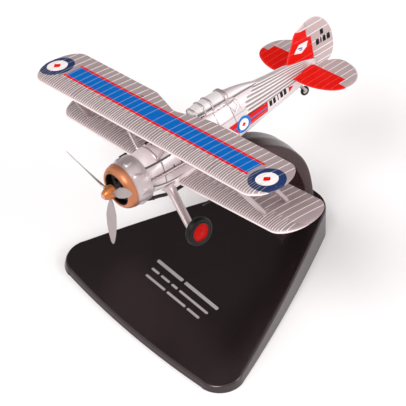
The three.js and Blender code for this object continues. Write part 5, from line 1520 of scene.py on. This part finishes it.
def round_corner(before, after, radius, steps=20):
    """Trims two runs of points that meet and gives the arc that joins them."""
    corner = before[-1]
    back, ahead = unit(before[-2] - corner), unit(after[1] - after[0])
    half_angle = math.acos(float(back @ ahead)) / 2
    room = 0.9 * min(np.linalg.norm(before[0] - corner), np.linalg.norm(after[-1] - corner))
    tangent = min(radius / math.tan(half_angle), room)
    fitted = tangent * math.tan(half_angle)
    centre = corner + unit(back + ahead) * fitted / math.sin(half_angle)
    start = math.atan2(*(corner + back * tangent - centre)[::-1])
    end = math.atan2(*(corner + ahead * tangent - centre)[::-1])
    turn = math.atan2(math.sin(end - start), math.cos(end - start))
    angles = [start + turn * k / steps for k in range(steps + 1)]
    arc = np.array([centre + fitted * np.array([math.cos(a), math.sin(a)]) for a in angles])

    def trimmed(run):
        return run[np.linalg.norm(run - corner, axis=1) > tangent + 0.3]

    return trimmed(before), arc, trimmed(after)


def stand_outline():
    front = np.array([[-FRONT_BOW * (k / 60) ** 2, FRONT_HALF * k / 60] for k in range(61)])
    start, end = np.array([-FRONT_BOW, FRONT_HALF]), np.array([-STAND_LENGTH, REAR_HALF])
    along = unit(end - start)
    outward_normal = np.array([along[1], -along[0]])
    side_run = np.array([start + (end - start) * t + outward_normal * 4 * SIDE_BOW * t * (1 - t)
                         for t in np.linspace(0, 1, 61)])
    rear = np.array([[-STAND_LENGTH, REAR_HALF * (1 - k / 20)] for k in range(21)])
    front, front_arc, side_run = round_corner(front, side_run, FRONT_CORNER)
    side_run, rear_arc, rear = round_corner(side_run, rear, REAR_CORNER)
    half = np.concatenate([front, front_arc, side_run, rear_arc, rear[-1:]])
    return np.concatenate([half, (half[1:-1] * [1, -1])[::-1]])


def inset(outline, distance):
    before, after = np.roll(outline, 1, 0), np.roll(outline, -1, 0)
    arriving = (outline - before) / np.linalg.norm(outline - before, axis=1)[:, None]
    leaving = (after - outline) / np.linalg.norm(after - outline, axis=1)[:, None]
    total = arriving + leaving
    inward = np.stack([-total[:, 1], total[:, 0]], 1)
    inward /= np.linalg.norm(inward, axis=1)[:, None]
    cosine = np.sqrt((1 + (arriving * leaving).sum(1)) / 2)
    return outline + inward * (distance / np.maximum(0.5, cosine))[:, None]


def stand_base():
    # loops from under the base, out and up the side, over the edge: inset, z = lift + share * top
    levels = [(2.4, -2.0, 1), (2.35, CHAMFER, 0), (2.2, 0, 0), (0.12, 0, 0), (0.0, CHAMFER, 0)]
    levels += [(DRAFT * k, CHAMFER - (EDGE_RADIUS + CHAMFER) * k, k)
               for k in np.linspace(0.1, 1.0, 6)]
    levels += [(DRAFT + EDGE_RADIUS * (1 - math.cos(rad(a))),
                EDGE_RADIUS * (math.sin(rad(a)) - 1), 1) for a in range(10, 91, 10)]
    levels.append((2.2, 0, 1))
    outline = stand_outline()
    loops = []
    for distance, lift, share in levels:
        ring = inset(outline, distance)
        loops.append(np.column_stack([ring, lift + share * stand_top(ring[:, 0])]))
    skin("stand_base", loft(loops), "stand", body="stand", sharp=30)


# printed lines as plain bars: x, half length, half height, relative bar lengths
PRINT_LINES = ((-30.2, 17.8, 0.72, (0.44, 0.56)), (-26.0, 16.5, 0.52, (0.13, 0.15, 0.10, 0.50)),
               (-22.2, 15.7, 0.52, (0.36, 0.34, 0.22)))
PRINT_GAP, PRINT_CORNER = 0.04, 0.35


def stand_print():
    bars = []
    for x, half, half_height, words in PRINT_LINES:
        total = sum(words) + PRINT_GAP * (len(words) - 1)
        start = -half
        for word in words:
            length = 2 * half * word / total
            ring = rounded_rectangle(half_height - PRINT_CORNER, length / 2 - PRINT_CORNER,
                                     PRINT_CORNER, 15) + [x, start + length / 2]
            top = stand_top(ring[:, 0])
            bars.append(loft([np.column_stack([ring, top - 0.02]),
                              np.column_stack([ring, top + 0.03])]))
            start += length + 2 * half * PRINT_GAP / total
    build("stand_print_bars", merge(*bars), "print", body="stand", sharp=30)


stand_base()
stand_print()

# ------------------------------------------------------------------ support arm
# outer x, outer z, inner x, inner z, half width, from the stand up to the aircraft
ARM = np.array([
    [-70.9, stand_top(-70.9), -71.2, stand_top(-70.9) + 3.4, 11.3],
    [-79.0, stand_top(-79.0), -78.4, 15.9, 9.6], [-86.0, stand_top(-86.0), -82.9, 17.6, 8.1],
    [-91.4, stand_top(-91.4), -85.6, 19.8, 6.9],
    [-93.3, stand_top(-93.3) + 1.6, -86.9, 22.4, 6.25], [-92.9, 20.8, -87.3, 24.6, 6],
    [-92.3, 25.0, -87.0, 27.3, 6], [-91.5, 29.2, -86.1, 30.3, 6], [-90.5, 33.3, -84.9, 33.5, 6],
    [-89.1, 37.6, -83.4, 37.0, 6], [-87.0, 42.2, -81.8, 40.6, 6], [-84.1, 46.8, -79.5, 44.6, 6],
    [-80.7, 51.1, -76.7, 48.3, 6], [-76.9, 54.9, -73.6, 51.6, 6], [-73.0, 58.1, -70.2, 54.5, 6],
    [-68.5, 61.2, -66.2, 57.3, 6], [-63.4, 64.0, -61.6, 60.0, 6], [-58.0, 66.3, -56.7, 62.2, 6],
    [-52.0, 68.0, -51.3, 63.9, 6], [-46.0, 68.9, -45.8, 64.8, 6],
    [-41.0, 69.1, -41.0, 65.1, 5.9], [-36.5, 68.9, -36.7, 65.0, 5.0],
    [-33.9, 68.1, -34.1, 65.7, 3.2]])
ARM_EDGE, ARM_CROWN = 0.9, 0.45
PAD = [(0, 0), (0, 4.3), (0.4, 4.45), (3.4, 3.6), (4.9, 3.3), (5.25, 3.05), (5.25, 0)]
PAD_PLACE = (-50.0, 0, -14.6)   # in aircraft axes


def arm_loop(station, outer_x, outer_z, inner_x, inner_z, half):
    """Section with a crowned outer face; the crown and its round edges fade into the foot."""
    outer = np.array([outer_x, outer_z])
    across = np.array([inner_x, inner_z]) - outer
    depth = np.linalg.norm(across)
    across /= depth
    clear = float(rise(2.2, 3.8, station))
    edge, outer_edge = ARM_EDGE, ARM_EDGE * clear + 0.02
    core = half - edge
    face = [(-ARM_CROWN * clear * (1 - abs(y) / half) ** 1.3, y)
            for y in np.linspace(-core, core, 17)]
    port = [(outer_edge * (1 - math.cos(rad(a))), core + edge * math.sin(rad(a)))
            for a in range(15, 91, 15)]
    port += [(depth - edge + edge * math.sin(rad(a)), core + edge * math.cos(rad(a)))
             for a in range(0, 91, 18)]
    section = face + port + [(level, -y) for level, y in port[::-1]]
    return [[outer[0] + across[0] * level, y, outer[1] + across[1] * level]
            for level, y in section]


def support_arm():
    stations = np.concatenate([np.linspace(0, 3, 40)[:-1], np.linspace(3, 22, 150)])
    columns = [smooth_curve(np.arange(len(ARM)), values, stations) for values in ARM.T]
    loops = [arm_loop(*row) for row in zip(stations, *columns)]
    skin("support_arm", loft(loops), "arm", body="stand", sharp=32)
    points, faces = lathe(PAD, 56, "z", PAD_PLACE)
    build("support_arm_pad", (points @ TURN.T + ORIGIN - STAND_SHIFT, faces), "arm",
          body="stand", sharp=30)


support_arm()

# ------------------------------------------------------------------ small CAD pieces kept as is
KEPT = {"arm_screw_front": "steel", "arm_screw_rear": "steel", "belly_screw_front": "steel",
        "belly_screw_rear": "steel", "mounting_peg": "steel", "propeller_shaft": "steel",
        "port_axle_pin": "steel", "starboard_axle_pin": "steel", "pilot_seat": "seat",
        "instrument_panel": "panel", "stand_underside_plate": "plate"}
for name, mat in KEPT.items():
    piece = frame["nodes"][name]
    piece.data.materials.clear()
    piece.data.materials.append(MATERIALS[mat])
    bevel = piece.modifiers.new("edge", "BEVEL")
    bevel.width, bevel.segments = 0.00008, 2
    bevel.limit_method, bevel.angle_limit = "ANGLE", rad(40)

# ------------------------------------------------------------------ floor, world, camera, lights
# sizes and places here are in metres
FLOOR_HALF = 4.0
CAMERA_PLACE = Vector((0.43165, 0.46842, 0.66916))
CAMERA_TARGET = Vector((0.002883, -0.009690, 0.033222))
LIGHT_TARGET = (0, 0, 0.05)
CARD_DIRECTION = Vector((-0.56, -0.68, 0.48)).normalized()


def add_floor():
    mat = Material("floor", cad=True)
    mat.shade({
        "Base Color": mat.mix(mat.noise(scale=0.004, detail=2), (0.93, 0.93, 0.93),
                              (0.95, 0.95, 0.95)),
        "Roughness": 0.75,
        "Specular IOR Level": 0.1})
    data = bpy.data.meshes.new("floor")
    corners = [(x * FLOOR_HALF, y * FLOOR_HALF, 0)
               for x, y in ((-1, -1), (1, -1), (1, 1), (-1, 1))]
    data.from_pydata(corners, [], [(0, 1, 2, 3)])
    floor = bpy.data.objects.new("floor", data)
    data.materials.append(mat.material)
    bpy.context.collection.objects.link(floor)


def add_world(scene):
    """White studio with one large dark card high up behind the model."""
    world = bpy.data.worlds.new("studio")
    scene.world = world
    world.use_nodes = True
    nodes, links = world.node_tree.nodes, world.node_tree.links
    nodes.clear()
    output = nodes.new("ShaderNodeOutputWorld")
    background = nodes.new("ShaderNodeBackground")
    background.inputs["Color"].default_value = (1.0, 0.955, 0.96, 1)
    geometry = nodes.new("ShaderNodeNewGeometry")
    toward_card = nodes.new("ShaderNodeVectorMath")
    toward_card.operation = "DOT_PRODUCT"
    links.new(geometry.outputs["Incoming"], toward_card.inputs[0])
    toward_card.inputs[1].default_value = tuple(-c for c in CARD_DIRECTION)
    strength = nodes.new("ShaderNodeMapRange")
    strength.interpolation_type = "SMOOTHSTEP"
    for name, value in (("From Min", 0.55), ("From Max", 0.93), ("To Min", 1.0),
                        ("To Max", 0.10)):
        strength.inputs[name].default_value = value
    links.new(toward_card.outputs["Value"], strength.inputs["Value"])
    links.new(strength.outputs[0], background.inputs["Strength"])
    links.new(background.outputs[0], output.inputs[0])


def aim(thing, place, target):
    thing.location = place
    thing.rotation_mode = "QUATERNION"
    thing.rotation_quaternion = (Vector(target) - Vector(place)).to_track_quat("-Z", "Y")
    bpy.context.collection.objects.link(thing)


def add_camera(scene):
    data = bpy.data.cameras.new("camera")
    data.sensor_width, data.lens = 36.0, 204.33
    data.clip_start, data.clip_end = 0.01, 20
    camera = bpy.data.objects.new("camera", data)
    aim(camera, CAMERA_PLACE, CAMERA_TARGET)
    scene.camera = camera


def add_light(name, place, size, power):
    data = bpy.data.lights.new(name, "AREA")
    data.shape, data.size, data.energy, data.color = "DISK", size, power, (1, 1, 1)
    light = bpy.data.objects.new(name, data)
    aim(light, place, LIGHT_TARGET)


scene = bpy.context.scene
add_floor()
add_world(scene)
add_camera(scene)
add_light("key", place=(0.75, 0.25, 1.1), size=0.45, power=7.0)
add_light("side", place=(-0.5, 1.0, 0.7), size=0.5, power=3.6)
scene.view_settings.view_transform = "Standard"
scene.view_settings.look = "None"
scene.view_settings.exposure = 0.0
